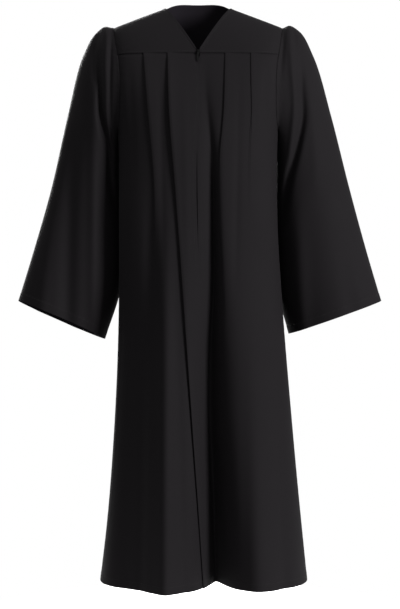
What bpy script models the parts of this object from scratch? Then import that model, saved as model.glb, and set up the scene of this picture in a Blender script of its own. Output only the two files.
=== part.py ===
"""A graduation gown in its worn shape, hollow: pleated fronts and back on a yoke, bell sleeves, a centre zip.

Metres, +Z up. The front faces -Y and +X is to the right of someone looking at the front. The origin lies
between the shoulders, level with the sides of the neck, where a wearer carries the gown. Heights below the
origin are given as drops. Every cloth piece is a wall of WALL, laid inwards from a surface that is worked
out from the gown's sizes.
"""

import math

import bmesh
import bpy
import numpy as np
from mathutils import Matrix

MM = 0.001
WALL = 2.0 * MM
SEAM_GAP = 0.3 * MM

# Driving sizes of the gown
HEM_DROP = 1.337
FRONT_SEAM_DROP = 0.115
BACK_SEAM_DROP = 0.150
NECK_HALF_WIDTH = 0.078
NECK_BACK_DEPTH = 0.058
V_DROP = 0.106
SHOULDER_HALF_WIDTH = 0.199
SHOULDER_SLOPE = 0.3755
NAPE_RISE = 0.076
ARMHOLE_TOP_DROP = 0.0445
ARMHOLE_BOTTOM_DROP = 0.2995
ARMHOLE_HALF_DEPTH = 0.070
ARCH_ANGLE = math.radians(75)

# Body sections: (drop, size), read smoothly between
HALF_WIDTH_LEFT = [(0.115, 0.200), (0.15, 0.199), (0.2, 0.196), (0.3, 0.187), (0.5, 0.184), (0.8, 0.187),
                   (1.0, 0.197), (1.2, 0.213), (1.337, 0.229)]
HALF_WIDTH_RIGHT = [(0.115, 0.200), (0.15, 0.199), (0.2, 0.196), (0.3, 0.187), (0.5, 0.185), (0.7, 0.197),
                    (0.96, 0.219), (1.1, 0.232), (1.337, 0.256)]
FRONT_DEPTH = [(0.115, 0.088), (0.2, 0.108), (0.3, 0.118), (0.5, 0.125), (0.8, 0.150), (1.1, 0.190),
               (1.337, 0.222)]
BACK_DEPTH = [(0.115, 0.090), (0.15, 0.098), (0.25, 0.112), (0.4, 0.110), (0.6, 0.115), (0.9, 0.145),
              (1.337, 0.195)]
SIDE_SHIFT = [(0.115, 0.0), (0.3, -0.012), (0.45, -0.030), (0.7, -0.030), (1.0, -0.015), (1.337, 0.0)]
SQUARENESS = [(0.115, 4.2), (0.2, 3.4), (0.3, 2.6), (0.5, 2.3), (0.9, 2.2), (1.337, 2.05)]

# Lines down the fronts: (drop, x)
CENTRE_LINE = [(0.115, 0.0), (0.5, -0.001), (0.64, 0.004), (0.73, 0.011), (0.92, 0.020), (1.1, 0.028),
               (1.337, 0.038)]
OUTER_PLEAT_LEFT = [(0.115, -0.1245), (0.26, -0.113), (0.4, -0.101), (0.5, -0.101), (0.7, -0.108),
                    (1.337, -0.115)]
INNER_PLEAT_LEFT = [(0.115, -0.0690), (0.26, -0.0650), (0.42, -0.0520), (0.59, -0.0390), (0.73, -0.0290),
                    (0.96, -0.0125), (1.18, 0.0035), (1.337, 0.0140)]
INNER_PLEAT_RIGHT = [(0.115, 0.0635), (0.26, 0.0588), (0.37, 0.0494), (0.48, 0.0494), (0.64, 0.0564),
                     (0.96, 0.054), (1.337, 0.061)]
OUTER_PLEAT_RIGHT = [(0.115, 0.122), (0.226, 0.122), (0.31, 0.1175), (0.48, 0.115), (0.92, 0.141),
                     (1.337, 0.150)]
BACK_PLEATS = (0.060, 0.118)

# How far each pleat's upper cloth stands over the lower: (drop, height)
SHORT_STEP = [(0.115, 1.0 * MM), (0.14, 4.0 * MM), (0.35, 5.0 * MM), (0.5, 3.0 * MM), (0.62, 0.0),
              (1.337, 0.0)]
LONG_STEP = [(0.115, 1.0 * MM), (0.14, 4.5 * MM), (0.5, 6.0 * MM), (1.0, 7.0 * MM), (1.337, 8.0 * MM)]
PLEAT_RISER = 1.5 * MM
PLEAT_FADE = 0.030

# The deep fold at the centre of the skirt: (drop, size)
VALLEY_X = [(0.115, 0.015), (0.19, 0.017), (0.38, 0.034), (0.5, 0.037), (0.64, 0.037), (0.80, 0.030),
            (0.95, 0.029), (1.1, 0.035), (1.337, 0.042)]
VALLEY_DEPTH = [(0.115, 0.0), (0.19, 0.003), (0.30, 0.011), (0.40, 0.022), (0.5, 0.030), (0.69, 0.048),
                (0.95, 0.085), (1.15, 0.125), (1.337, 0.172)]
VALLEY_WIDTH = [(0.115, 0.012), (0.5, 0.020), (0.9, 0.030), (1.337, 0.040)]
VALLEY_FLOOR = 8.0 * MM

# Broad folds of the fronts: line (drop, x), height out of the cloth (drop, height), half width
FRONT_FOLDS = [
    ([(0.115, -0.072), (1.337, -0.074)],
     [(0.115, 0.0), (0.45, 0.0), (0.7, 11.0 * MM), (1.337, 16.0 * MM)], 0.020),
    ([(0.115, -0.146), (1.337, -0.152)],
     [(0.115, 0.0), (0.45, 0.0), (0.8, -19.0 * MM), (1.337, -27.0 * MM)], 0.045),
    ([(0.115, -0.106), (1.337, -0.110)],
     [(0.115, 0.0), (0.4, 0.0), (0.6, -6.0 * MM), (0.8, 0.0), (1.337, 0.0)], 0.015),
    ([(0.115, 0.100), (1.337, 0.135)], [(0.115, 0.0), (0.6, 0.0), (1.337, 7.0 * MM)], 0.030),
]
BACK_FLUTE = [(0.115, 0.0), (0.35, 0.004), (0.7, 0.012), (1.0, 0.022), (1.337, 0.034)]
BACK_FLUTES = 6
BACK_PLEAT_SPREAD = 0.35
SIDE_FADE = 3.0

# Sleeves: (share of the way down, x or drop)
SLEEVE_LEFT = {
    "outer_x": [(0, 0.199), (0.05, 0.2205), (0.1, 0.2420), (0.2, 0.2715), (0.4, 0.309), (0.6, 0.347),
                (0.8, 0.388), (1, 0.4265)],
    "outer_drop": [(0, 0.0445), (0.05, 0.0405), (0.1, 0.0565), (0.2, 0.107), (0.4, 0.245), (0.6, 0.412),
                   (0.8, 0.558), (1, 0.686)],
    "inner_x": [(0, 0.1872), (0.1, 0.1875), (0.2, 0.185), (0.4, 0.180), (0.6, 0.1775), (0.8, 0.185),
                (1, 0.2215)],
    "inner_drop": [(0, 0.2995), (0.1, 0.335), (0.2, 0.375), (0.4, 0.455), (0.6, 0.555), (0.8, 0.661),
                   (1, 0.775)],
    "cuff_tilt": 9.0 * MM,
}
SLEEVE_RIGHT = {
    "outer_x": [(0, 0.199), (0.05, 0.2170), (0.1, 0.2405), (0.2, 0.2720), (0.4, 0.316), (0.6, 0.3585),
                (0.8, 0.3985), (1, 0.4350)],
    "outer_drop": [(0, 0.0445), (0.05, 0.0375), (0.1, 0.0520), (0.2, 0.106), (0.4, 0.246), (0.6, 0.412),
                   (0.8, 0.560), (1, 0.685)],
    "inner_x": [(0, 0.1872), (0.1, 0.1875), (0.2, 0.185), (0.4, 0.181), (0.6, 0.180), (0.8, 0.190),
                (1, 0.2155)],
    "inner_drop": [(0, 0.2995), (0.1, 0.335), (0.2, 0.375), (0.4, 0.455), (0.6, 0.555), (0.8, 0.665),
                   (1, 0.763)],
    "cuff_tilt": 0.0,
}
SLEEVE_HALF_DEPTH = [(0, 0.070), (0.1, 0.078), (0.2, 0.082), (0.4, 0.085), (0.6, 0.088), (0.8, 0.094),
                     (1, 0.100)]
SLEEVE_SHIFT = [(0, 0.0), (0.1, 0.012), (0.2, 0.024), (0.4, 0.040), (0.6, 0.044), (1, 0.042)]
HEAD_BLEND = 0.16
# Sleeve folds: line (share down, place across, -1 inner to 1 outer), depth (share, depth), half width across
SLEEVE_FOLDS = [
    ([(0, 0.3), (0.3, 0.25), (0.8, -0.15), (1, -0.2)],
     [(0, 0.0), (0.2, 3.0 * MM), (0.6, 7.0 * MM), (1, 10.0 * MM)], 0.22),
    ([(0, 0.2), (0.2, -0.2), (0.45, -0.7), (1, -0.8)],
     [(0, 0.0), (0.1, 7.0 * MM), (0.4, 6.0 * MM), (0.6, 0.0), (1, 0.0)], 0.16),
]

# Zip
ZIP_END_DROP = 0.6175
TAPE_WIDTH = 11.0 * MM
TAPE_THICKNESS = 0.8 * MM
TAPE_CLEARANCE = 0.4 * MM
TAPE_EDGE = 14.0 * MM
TAPE_INSET = 0.2 * MM
COIL_HALF_WIDTH = 2.0 * MM
COIL_THICKNESS = 1.6 * MM
COIL_TOP_DROP = 0.1200
SLIDER_NOTCH = 4.0 * MM
SLIDER_HALF_WIDTH = 3.2 * MM
SLIDER_ABOVE = 2.0 * MM
SLIDER_BELOW = 6.5 * MM
SLIDER_FRONT = 1.4 * MM
SLIDER_BACK = 5.6 * MM
CROWN_HALF_WIDTH = 0.8 * MM
CROWN_WINDOW = (0.9 * MM, 1.4 * MM, 1.0 * MM)
CROWN_BAR = 1.0 * MM
PULL_AXIS_DROP = 0.1115
PULL_AXIS_OUT = 2.4 * MM
PULL_TILT = 13.5
PULL_HALF_WIDTH = 2.5 * MM
PULL_LENGTH = 27.0 * MM
PULL_THICKNESS = 1.0 * MM
PULL_EYE_HALF_WIDTH = 1.4 * MM
PULL_EYE_END = 4.9 * MM
PULL_SHOULDER = 22.0 * MM
PULL_TIP_HALF_WIDTH = 1.5 * MM
PULL_SHOULDER_TAPER = 0.8

# Grid lines
NOTCH_END_DROP = 0.121
PLACKET_SHUT_DROP = 0.135
FRONT_ROWS = (FRONT_SEAM_DROP, NOTCH_END_DROP, PLACKET_SHUT_DROP, 0.165, 0.200, 0.235, 0.270,
              ARMHOLE_BOTTOM_DROP, 0.36, 0.44, 0.53, ZIP_END_DROP, 0.71, 0.81, 0.92, 1.03, 1.13, 1.24,
              HEM_DROP)
BACK_ROWS = (BACK_SEAM_DROP, 0.180, 0.210, 0.240, 0.270, ARMHOLE_BOTTOM_DROP, 0.36, 0.44, 0.54, 0.65, 0.77,
             0.89, 1.01, 1.13, 1.24, HEM_DROP)
FRONT_PARTS = (5, 1, 3, 1, 2, 1)
BACK_PARTS = (3, 1, 2, 1, 4)
YOKE_FRONT_PARTS = 6
YOKE_ARM_PARTS = 4
YOKE_BACK_PARTS = 6
YOKE_FAN_RINGS = 5
VEE_BOW = 1.1
SMOOTH_ANGLE = math.radians(35)
NORMAL_STEP = 0.002
SLEEVE_RINGS = (0, 0.05, 0.1, 0.17, 0.25, 0.34, 0.43, 0.52, 0.61, 0.7, 0.8, 0.9, 1.0)


def run(at, stations):
    """A value read from a short list of (place, value), along a cubic through its points."""
    places, values = np.array(stations, float).T
    slopes = np.gradient(values, places)
    at = np.clip(np.asarray(at, float), places[0], places[-1])
    i = np.clip(np.searchsorted(places, at, side="right") - 1, 0, len(places) - 2)
    width = places[i + 1] - places[i]
    t = (at - places[i]) / width
    return (
        (1 + 2 * t) * (1 - t) ** 2 * values[i]
        + t * (1 - t) ** 2 * width * slopes[i]
        + t * t * (3 - 2 * t) * values[i + 1]
        - t * t * (1 - t) * width * slopes[i + 1]
    )


def bell(distance, width):
    """A soft bump, 1 in the middle, that dies away at about twice its width."""
    return np.exp(-((distance / width) ** 2))


def half_width(x_sign, drop):
    return np.where(x_sign < 0, run(drop, HALF_WIDTH_LEFT), run(drop, HALF_WIDTH_RIGHT))


def section_share(face, y_from_side, drop):
    """How deep a point of the section lies, as a share of the depth of its front (-1) or back (1)."""
    side = run(drop, SIDE_SHIFT)
    depth = np.where(face < 0, run(drop, FRONT_DEPTH) + side, run(drop, BACK_DEPTH) - side)
    return y_from_side / depth


def pleat_step(x, line_x, towards, height):
    """The upper cloth of a knife pleat: it rises at the pleat's line and fades away from it."""
    past = (x - line_x) * towards
    rise = np.clip(past / PLEAT_RISER + 0.5, 0, 1)
    return height * rise * np.exp(-np.maximum(past, 0) / PLEAT_FADE)


def front_relief(x, drop):
    """How far the fronts stand out of their plain section: pleats, broad folds and the centre valley."""
    short, long = np.maximum(run(drop, SHORT_STEP), 0), run(drop, LONG_STEP)
    relief = pleat_step(x, run(drop, OUTER_PLEAT_LEFT), 1, short)
    relief += pleat_step(x, run(drop, INNER_PLEAT_LEFT), 1, long)
    relief += pleat_step(x, run(drop, INNER_PLEAT_RIGHT), 1, short)
    relief += pleat_step(x, run(drop, OUTER_PLEAT_RIGHT), 1, short)
    for line, height, width in FRONT_FOLDS:
        relief += run(drop, height) * bell(x - run(drop, line), width)
    away = np.hypot(x - run(drop, VALLEY_X), VALLEY_FLOOR) - VALLEY_FLOOR
    return relief - run(drop, VALLEY_DEPTH) * np.exp(-away / run(drop, VALLEY_WIDTH))


def back_relief(x, turn, drop):
    """How far the back stands out: four pleats, pressed outwards, and the flutes that fall from them."""
    short = np.maximum(run(drop, SHORT_STEP), 0)
    relief = run(drop, BACK_FLUTE) * np.cos(BACK_FLUTES * turn)
    for place in BACK_PLEATS:
        line = place * back_widening(drop)
        relief += pleat_step(x, line, -1, short) + pleat_step(x, -line, 1, short)
    return relief


def back_widening(drop):
    """How much further apart the back pleats lie at a drop than at the seam."""
    return 1 + BACK_PLEAT_SPREAD * (drop - BACK_SEAM_DROP)


def turn_at(x, drop):
    """The turn round the section, 0 at the middle and a quarter turn at the side, where it crosses x."""
    share = np.abs(x) / half_width(x, drop)
    return np.sign(x) * np.arcsin(np.clip(share, 0, 1) ** (run(drop, SQUARENESS) / 2))


def plain_torso(face, turn, drop):
    """The body with no folds: a squarish ellipse at each drop. face is -1 in front and 1 behind."""
    turn, drop = np.broadcast_arrays(np.asarray(turn, float), np.asarray(drop, float))
    power = 2 / run(drop, SQUARENESS)
    sine, cosine = np.sin(turn), np.clip(np.cos(turn), 0, 1)
    x = half_width(sine, drop) * np.sign(sine) * np.abs(sine) ** power
    side = run(drop, SIDE_SHIFT)
    depth = run(drop, FRONT_DEPTH) + side if face < 0 else run(drop, BACK_DEPTH) - side
    return np.stack([x, side + face * depth * cosine**power, -drop], axis=-1)


def torso(face, turn, drop):
    """The body with its pleats and folds, which die away at the side seams."""
    points = plain_torso(face, turn, drop)
    x, drop = points[..., 0], -points[..., 2]
    relief = front_relief(x, drop) if face < 0 else back_relief(x, turn, drop)
    points[..., 1] += face * relief * np.clip(SIDE_FADE * np.cos(turn), 0, 1)
    return points


def torso_normals(face, turn, drop):
    """The outward direction of the body's surface, from points a little to each side."""
    across = torso(face, turn + NORMAL_STEP, drop) - torso(face, turn - NORMAL_STEP, drop)
    along = torso(face, turn, drop + NORMAL_STEP) - torso(face, turn, drop - NORMAL_STEP)
    found = face * np.cross(across, along)
    return found / np.linalg.norm(found, axis=-1, keepdims=True)


def armhole_turn(face, sign, drop):
    """Where the armhole cuts the section: an upright ellipse in depth and height, closed at the underarm."""
    middle = (ARMHOLE_TOP_DROP + ARMHOLE_BOTTOM_DROP) / 2
    reach = (ARMHOLE_BOTTOM_DROP - ARMHOLE_TOP_DROP) / 2
    level = np.clip(1 - ((drop - middle) / reach) ** 2, 0, 1)
    depth = np.where(drop < ARMHOLE_BOTTOM_DROP, ARMHOLE_HALF_DEPTH * np.sqrt(level), 0)
    share = section_share(face, depth, drop)
    return sign * np.arccos(np.clip(share, 0, 1) ** (run(drop, SQUARENESS) / 2))


def shoulder_drop(x):
    """The shoulder's ridge: straight down from the side of the neck, and rounded up to the nape inside it."""
    away = np.abs(x)
    slope = SHOULDER_SLOPE * (away - NECK_HALF_WIDTH)
    nape = -NAPE_RISE * (1 - np.clip(away / NECK_HALF_WIDTH, 0, 1) ** 2)
    return np.where(away > NECK_HALF_WIDTH, slope, nape)


def yoke(x, arch):
    """The yoke: at each x an arch from the front seam (-1) over the ridge (0) to the back seam (1)."""
    face = np.where(arch < 0, -1, 1)
    seam = np.where(face < 0, FRONT_SEAM_DROP, BACK_SEAM_DROP)
    front = plain_torso(-1, turn_at(x, FRONT_SEAM_DROP), FRONT_SEAM_DROP)[..., 1]
    back = plain_torso(1, turn_at(x, BACK_SEAM_DROP), BACK_SEAM_DROP)[..., 1]
    angle = np.abs(arch) * ARCH_ANGLE
    y = np.where(face < 0, front, back) * np.sin(angle) / math.sin(ARCH_ANGLE)
    ridge = shoulder_drop(x)
    drop = ridge + (seam - ridge) * (1 - np.cos(angle)) / (1 - math.cos(ARCH_ANGLE))
    return np.stack([x, y, -drop], axis=-1)


def arch_at_drop(x, drop):
    """The place on the front arch at x that lies at this drop."""
    ridge = shoulder_drop(x)
    cosine = 1 - (drop - ridge) / (FRONT_SEAM_DROP - ridge) * (1 - math.cos(ARCH_ANGLE))
    return -np.arccos(np.clip(cosine, -1, 1)) / ARCH_ANGLE


def yoke_arm_x(arch):
    """The armhole edge of the yoke, from the shoulder point to where each seam meets the armhole."""
    front = plain_torso(-1, armhole_turn(-1, 1, FRONT_SEAM_DROP), FRONT_SEAM_DROP)[..., 0]
    back = plain_torso(1, armhole_turn(1, 1, BACK_SEAM_DROP), BACK_SEAM_DROP)[..., 0]
    end = np.where(arch < 0, front, back)
    return end + (SHOULDER_HALF_WIDTH - end) * np.cos(arch * math.pi / 2)


def spread(start, end, parts, ends=False):
    """Evenly spaced places from start to end, the last one left out unless ends is set."""
    return np.linspace(start, end, parts + 1)[: parts + 1 if ends else parts]


def grid_normals(points, closed=False):
    """The outward direction at each point of a grid whose rows run down and columns run to the right."""
    along = np.gradient(points, axis=0)
    if closed:
        wrapped = np.concatenate([points[:, -1:], points, points[:, :1]], axis=1)
        across = np.gradient(wrapped, axis=1)[:, 1:-1]
    else:
        across = np.gradient(points, axis=1)
    found = np.cross(along, across)
    return found / np.linalg.norm(found, axis=-1, keepdims=True)


def wall_object(name, points, normals, material, closed=False, thickness=WALL):
    """A cloth wall: the grid of points is its outer side, and the inner side lies a thickness behind it."""
    rows, columns = points.shape[:2]
    inner = points - normals * thickness
    bm = bmesh.new()
    outside = [[bm.verts.new(p) for p in row] for row in points.tolist()]
    inside = [[bm.verts.new(p) for p in row] for row in inner.tolist()]
    last = columns if closed else columns - 1
    for i in range(rows - 1):
        for j in range(last):
            k = (j + 1) % columns
            bm.faces.new((outside[i][j], outside[i + 1][j], outside[i + 1][k], outside[i][k]))
            bm.faces.new((inside[i][j], inside[i][k], inside[i + 1][k], inside[i + 1][j]))
    for i, flip in ((0, False), (rows - 1, True)):
        for j in range(last):
            k = (j + 1) % columns
            face = [outside[i][j], outside[i][k], inside[i][k], inside[i][j]]
            bm.faces.new(face[::-1] if flip else face)
    if not closed:
        for j, flip in ((0, True), (columns - 1, False)):
            for i in range(rows - 1):
                face = [outside[i][j], outside[i + 1][j], inside[i + 1][j], inside[i][j]]
                bm.faces.new(face if not flip else face[::-1])
    bmesh.ops.recalc_face_normals(bm, faces=bm.faces)
    bmesh.ops.triangulate(bm, faces=bm.faces)
    return finish(name, bm, material)


def finish(name, bm, material, matrix=None):
    if matrix is not None:
        bmesh.ops.transform(bm, matrix=matrix, verts=bm.verts)
    mesh = bpy.data.meshes.new(name)
    bm.to_mesh(mesh)
    bm.free()
    mesh.shade_smooth()
    mesh.set_sharp_from_angle(angle=SMOOTH_ANGLE)
    mesh.materials.append(material)
    obj = bpy.data.objects.new(name, mesh)
    bpy.context.collection.objects.link(obj)
    return obj


def material(name, color, roughness, metallic=0.0):
    found = bpy.data.materials.new(name)
    found.use_nodes = True
    shader = found.node_tree.nodes["Principled BSDF"]
    shader.inputs["Base Color"].default_value = (*color, 1)
    shader.inputs["Roughness"].default_value = roughness
    shader.inputs["Metallic"].default_value = metallic
    return found


def torso_wall(name, face, turns, drops, fabric):
    """A panel of the body. Its edges are square to the true surface, so that they meet their neighbours'."""
    drops = np.broadcast_to(drops[:, None], turns.shape)
    points = torso(face, turns, drops)
    normals = grid_normals(points)
    true = torso_normals(face, turns, drops)
    for edge in (np.s_[:, 0], np.s_[:, -1], np.s_[0, :], np.s_[-1, :]):
        normals[edge] = true[edge]
    return wall_object(name, points, normals, fabric)


def placket_gap(drop):
    """Half the gap between the two centre front edges: open round the slider, closed below it."""
    share = np.clip((PLACKET_SHUT_DROP - drop) / (PLACKET_SHUT_DROP - NOTCH_END_DROP), 0, 1)
    return SEAM_GAP / 2 + (SLIDER_NOTCH - SEAM_GAP / 2) * share


def front_turns(sign):
    """The turns of a front's columns at each row: from the armhole and side seam, by both pleats, inwards."""
    rows = np.array(FRONT_ROWS)
    outer_line, inner_line = (
        (OUTER_PLEAT_LEFT, INNER_PLEAT_LEFT) if sign < 0 else (OUTER_PLEAT_RIGHT, INNER_PLEAT_RIGHT)
    )
    centre = run(rows, CENTRE_LINE)
    stops = [armhole_turn(-1, sign, rows) - sign * SEAM_GAP / run(rows, FRONT_DEPTH)]
    for line in (outer_line, inner_line):
        for side in (1, -1):
            stops.append(turn_at(run(rows, line) + side * sign * PLEAT_RISER / 2, rows))
    stops.append(turn_at(centre + sign * TAPE_EDGE, rows))
    stops.append(turn_at(centre + sign * placket_gap(rows), rows))
    columns = []
    for (start, end), parts in zip(zip(stops, stops[1:]), FRONT_PARTS):
        for share in spread(0, 1, parts):
            columns.append(start + (end - start) * share)
    return np.stack(columns + [stops[-1]], axis=1)


def front_drops():
    drops = np.array(FRONT_ROWS)
    drops[0] += SEAM_GAP / 2
    return drops


def front_panel(name, sign, fabric):
    """One front panel, with its columns in order from left to right."""
    turns = front_turns(sign)
    return torso_wall(name, -1, turns if sign < 0 else turns[:, ::-1], front_drops(), fabric)


def back_panel(fabric):
    """The back, with a column on each side of every pleat's line."""
    rows = np.array(BACK_ROWS)
    gap_turn = SEAM_GAP / run(rows, BACK_DEPTH)
    edge = armhole_turn(1, 1, rows) - gap_turn
    stops = [np.zeros_like(rows)]
    for place in BACK_PLEATS:
        for side in (-1, 1):
            stops.append(turn_at(place * back_widening(rows) + side * PLEAT_RISER / 2, rows))
    stops.append(edge)
    columns = []
    for (start, end), parts in zip(zip(stops, stops[1:]), BACK_PARTS):
        for share in spread(0, 1, parts):
            columns.append(start + (end - start) * share)
    columns.append(stops[-1])
    drops = rows.copy()
    drops[0] += SEAM_GAP / 2
    turns = np.stack([-c for c in columns[:0:-1]] + columns, axis=1)
    return torso_wall("back", 1, turns[:, ::-1], drops, fabric)


def yoke_edges():
    """The yoke's neck edge and outer edge on one side, from the centre front to the centre back."""
    arm = np.linspace(-1, 1, 2 * YOKE_ARM_PARTS + 1)
    arm_x = yoke_arm_x(arm)
    outer_x = np.concatenate([
        spread(SLIDER_NOTCH, arm_x[0], YOKE_FRONT_PARTS),
        arm_x,
        spread(arm_x[-1], 0, YOKE_BACK_PARTS, ends=True)[1:],
    ])
    outer_arch = np.concatenate([-np.ones(YOKE_FRONT_PARTS), arm, np.ones(YOKE_BACK_PARTS)])
    share = np.linspace(0, 2, len(outer_x))
    vee = share <= 1
    along_vee = np.clip(share, 0, 1)
    along_nape = np.clip(share - 1, 0, 1)
    neck_x = np.where(
        vee,
        SLIDER_NOTCH + (NECK_HALF_WIDTH - SLIDER_NOTCH) * along_vee,
        NECK_HALF_WIDTH * np.cos(along_nape * math.pi / 2),
    )
    vee_drop = V_DROP * (1 - along_vee) ** VEE_BOW
    nape_y = NECK_BACK_DEPTH * np.sin(along_nape * math.pi / 2)
    back_y = plain_torso(1, turn_at(neck_x, BACK_SEAM_DROP), BACK_SEAM_DROP)[..., 1]
    nape_arch = np.arcsin(np.clip(nape_y / back_y * math.sin(ARCH_ANGLE), 0, 1)) / ARCH_ANGLE
    neck_arch = np.where(vee, arch_at_drop(neck_x, vee_drop), nape_arch)
    return neck_x, neck_arch, outer_x, outer_arch


def yoke_piece(fabric):
    """The yoke as a fan of lines from the neck edge out to the seams, mirrored about the centre back."""
    neck_x, neck_arch, outer_x, outer_arch = yoke_edges()
    share = np.linspace(0, 1, YOKE_FAN_RINGS)[:, None]
    x = neck_x + (outer_x - neck_x) * share
    arch = neck_arch + (outer_arch - neck_arch) * share
    half = yoke(x, arch)
    mirrored = half[:, -2::-1] * (-1, 1, 1)
    points = np.concatenate([half, mirrored], axis=1)
    on_seam = np.abs(np.concatenate([outer_arch, outer_arch[-2::-1]])) == 1
    points[-1, on_seam, 2] += SEAM_GAP / 2
    return wall_object("yoke", points, -grid_normals(points), fabric)


def armhole_loop(sign):
    """The armhole's edge all round, from the shoulder down the front to the underarm and up the back."""
    over_front = spread(0, -1, YOKE_ARM_PARTS)
    front = yoke(sign * yoke_arm_x(over_front), over_front)
    front_drops = np.array([d for d in FRONT_ROWS if d <= ARMHOLE_BOTTOM_DROP])
    down = torso(-1, armhole_turn(-1, sign, front_drops), front_drops)
    back_drops = np.array([d for d in BACK_ROWS if d < ARMHOLE_BOTTOM_DROP])[::-1]
    up = torso(1, armhole_turn(1, sign, back_drops), back_drops)
    over_back = spread(1, 0, YOKE_ARM_PARTS)[1:]
    back = yoke(sign * yoke_arm_x(over_back), over_back)
    return np.concatenate([front, down, up, back])


def sleeve(name, sign, sizes, fabric):
    """A bell sleeve: rings between its outer and inner line, the first one on the armhole."""
    loop = armhole_loop(sign)
    middle = -(ARMHOLE_TOP_DROP + ARMHOLE_BOTTOM_DROP) / 2
    reach = (ARMHOLE_BOTTOM_DROP - ARMHOLE_TOP_DROP) / 2
    angle = np.arctan2(-loop[:, 1] / ARMHOLE_HALF_DEPTH, (loop[:, 2] - middle) / reach)
    down = np.array(SLEEVE_RINGS)[:, None]
    outer = np.stack([sign * run(down, sizes["outer_x"]), -run(down, sizes["outer_drop"])], axis=-1)
    inner = np.stack([sign * run(down, sizes["inner_x"]), -run(down, sizes["inner_drop"])], axis=-1)
    centre, arm = (outer + inner) / 2, (outer - inner) / 2
    cosine, sine = np.cos(angle), np.sin(angle)
    relief = np.zeros((len(SLEEVE_RINGS), len(angle)))
    for line, depth, width in SLEEVE_FOLDS:
        relief += run(down, depth) * bell(cosine - run(down, line), width)
    relief *= np.clip(np.abs(sine) * 2, 0, 1)
    flat = centre + arm * cosine[None, :, None]
    depth = run(down, SLEEVE_HALF_DEPTH) - relief
    y = run(down, SLEEVE_SHIFT) - depth * sine
    tilt = sizes["cuff_tilt"] * down**4 * sine
    points = np.stack([flat[..., 0], y, flat[..., 1] + tilt], axis=-1)
    hold = np.clip(1 - down / HEAD_BLEND, 0, 1)[..., None] ** 2
    points += (loop - points[0])[None] * hold
    points[0, :, 0] += sign * SEAM_GAP
    if sign > 0:
        points = points[:, ::-1]
    normals = grid_normals(points, closed=True)
    normals[0, :, 0] = 0
    normals[0] /= np.linalg.norm(normals[0], axis=-1, keepdims=True)
    return wall_object(name, points, normals, fabric, closed=True)


def tape_edges(sign):
    """The two edges of a zip tape, outer then inner, behind the flat strip along the front's centre edge."""
    rows = np.array(FRONT_ROWS)
    shown = rows <= ZIP_END_DROP
    rows, turns = rows[shown], front_turns(sign)[shown, -2:]
    drops = np.broadcast_to(front_drops()[shown, None], turns.shape)
    behind = torso(-1, turns, drops) - torso_normals(-1, turns, drops) * (WALL + TAPE_CLEARANCE)
    gap = placket_gap(rows)
    inner = np.maximum(COIL_HALF_WIDTH + SEAM_GAP, gap + TAPE_INSET)
    shares = [(TAPE_EDGE - place) / (TAPE_EDGE - gap) for place in (inner + TAPE_WIDTH, inner)]
    return [behind[:, 0] + (behind[:, 1] - behind[:, 0]) * share[:, None] for share in shares]


def flat_strip(name, left, right, thickness, colour):
    """A narrow strip between two edges, its face to the front."""
    points = np.stack([left, right], axis=1)
    normals = np.broadcast_to((0.0, -1.0, 0.0), points.shape)
    return wall_object(name, points, normals, colour, thickness=thickness)


def zip_pieces(tape_colour, coil_colour):
    """Both tapes and the closed coil between them."""
    left_outer, left_inner = tape_edges(-1)
    right_outer, right_inner = tape_edges(1)
    flat_strip("zip_tape_left", left_outer, left_inner, TAPE_THICKNESS, tape_colour)
    flat_strip("zip_tape_right", right_inner, right_outer, TAPE_THICKNESS, tape_colour)
    middle = (left_inner + right_inner) / 2
    share = (-COIL_TOP_DROP - middle[0, 2]) / (middle[2, 2] - middle[0, 2])
    middle = np.concatenate([[middle[0] + (middle[2] - middle[0]) * share], middle[2:]])
    side = right_inner[1:] - left_inner[1:]
    side[0] = side[1]
    side *= COIL_HALF_WIDTH / np.linalg.norm(side, axis=-1, keepdims=True)
    flat_strip("zip_coil", middle - side, middle + side, COIL_THICKNESS, coil_colour)


def pull_frame():
    """The place of the pull's axis, and the lean of the cloth behind it."""
    face = torso(-1, 0.0, PULL_AXIS_DROP + 0.005)[1]
    place = Matrix.Translation((0.0, face - PULL_AXIS_OUT, -PULL_AXIS_DROP))
    return place @ Matrix.Rotation(-math.radians(PULL_TILT), 4, "X")


def extruded_cells(xs, heights, holes, front, back):
    """A flat grid of cells given thickness. Cells in holes are left out, so the piece has an eye there."""
    bm = bmesh.new()
    corners = {}

    def corner(i, j):
        if (i, j) not in corners:
            corners[i, j] = bm.verts.new((xs[j][i], front, heights[i]))
        return corners[i, j]

    xs = [[row[i] for i in range(len(heights))] for row in xs]
    for i in range(len(heights) - 1):
        for j in range(len(xs) - 1):
            if (i, j) not in holes:
                bm.faces.new((corner(i, j), corner(i + 1, j), corner(i + 1, j + 1), corner(i, j + 1)))
    swept = bmesh.ops.extrude_face_region(bm, geom=bm.faces[:])
    moved = [item for item in swept["geom"] if isinstance(item, bmesh.types.BMVert)]
    bmesh.ops.translate(bm, verts=moved, vec=(0, back - front, 0))
    bmesh.ops.recalc_face_normals(bm, faces=bm.faces)
    return bm


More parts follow.
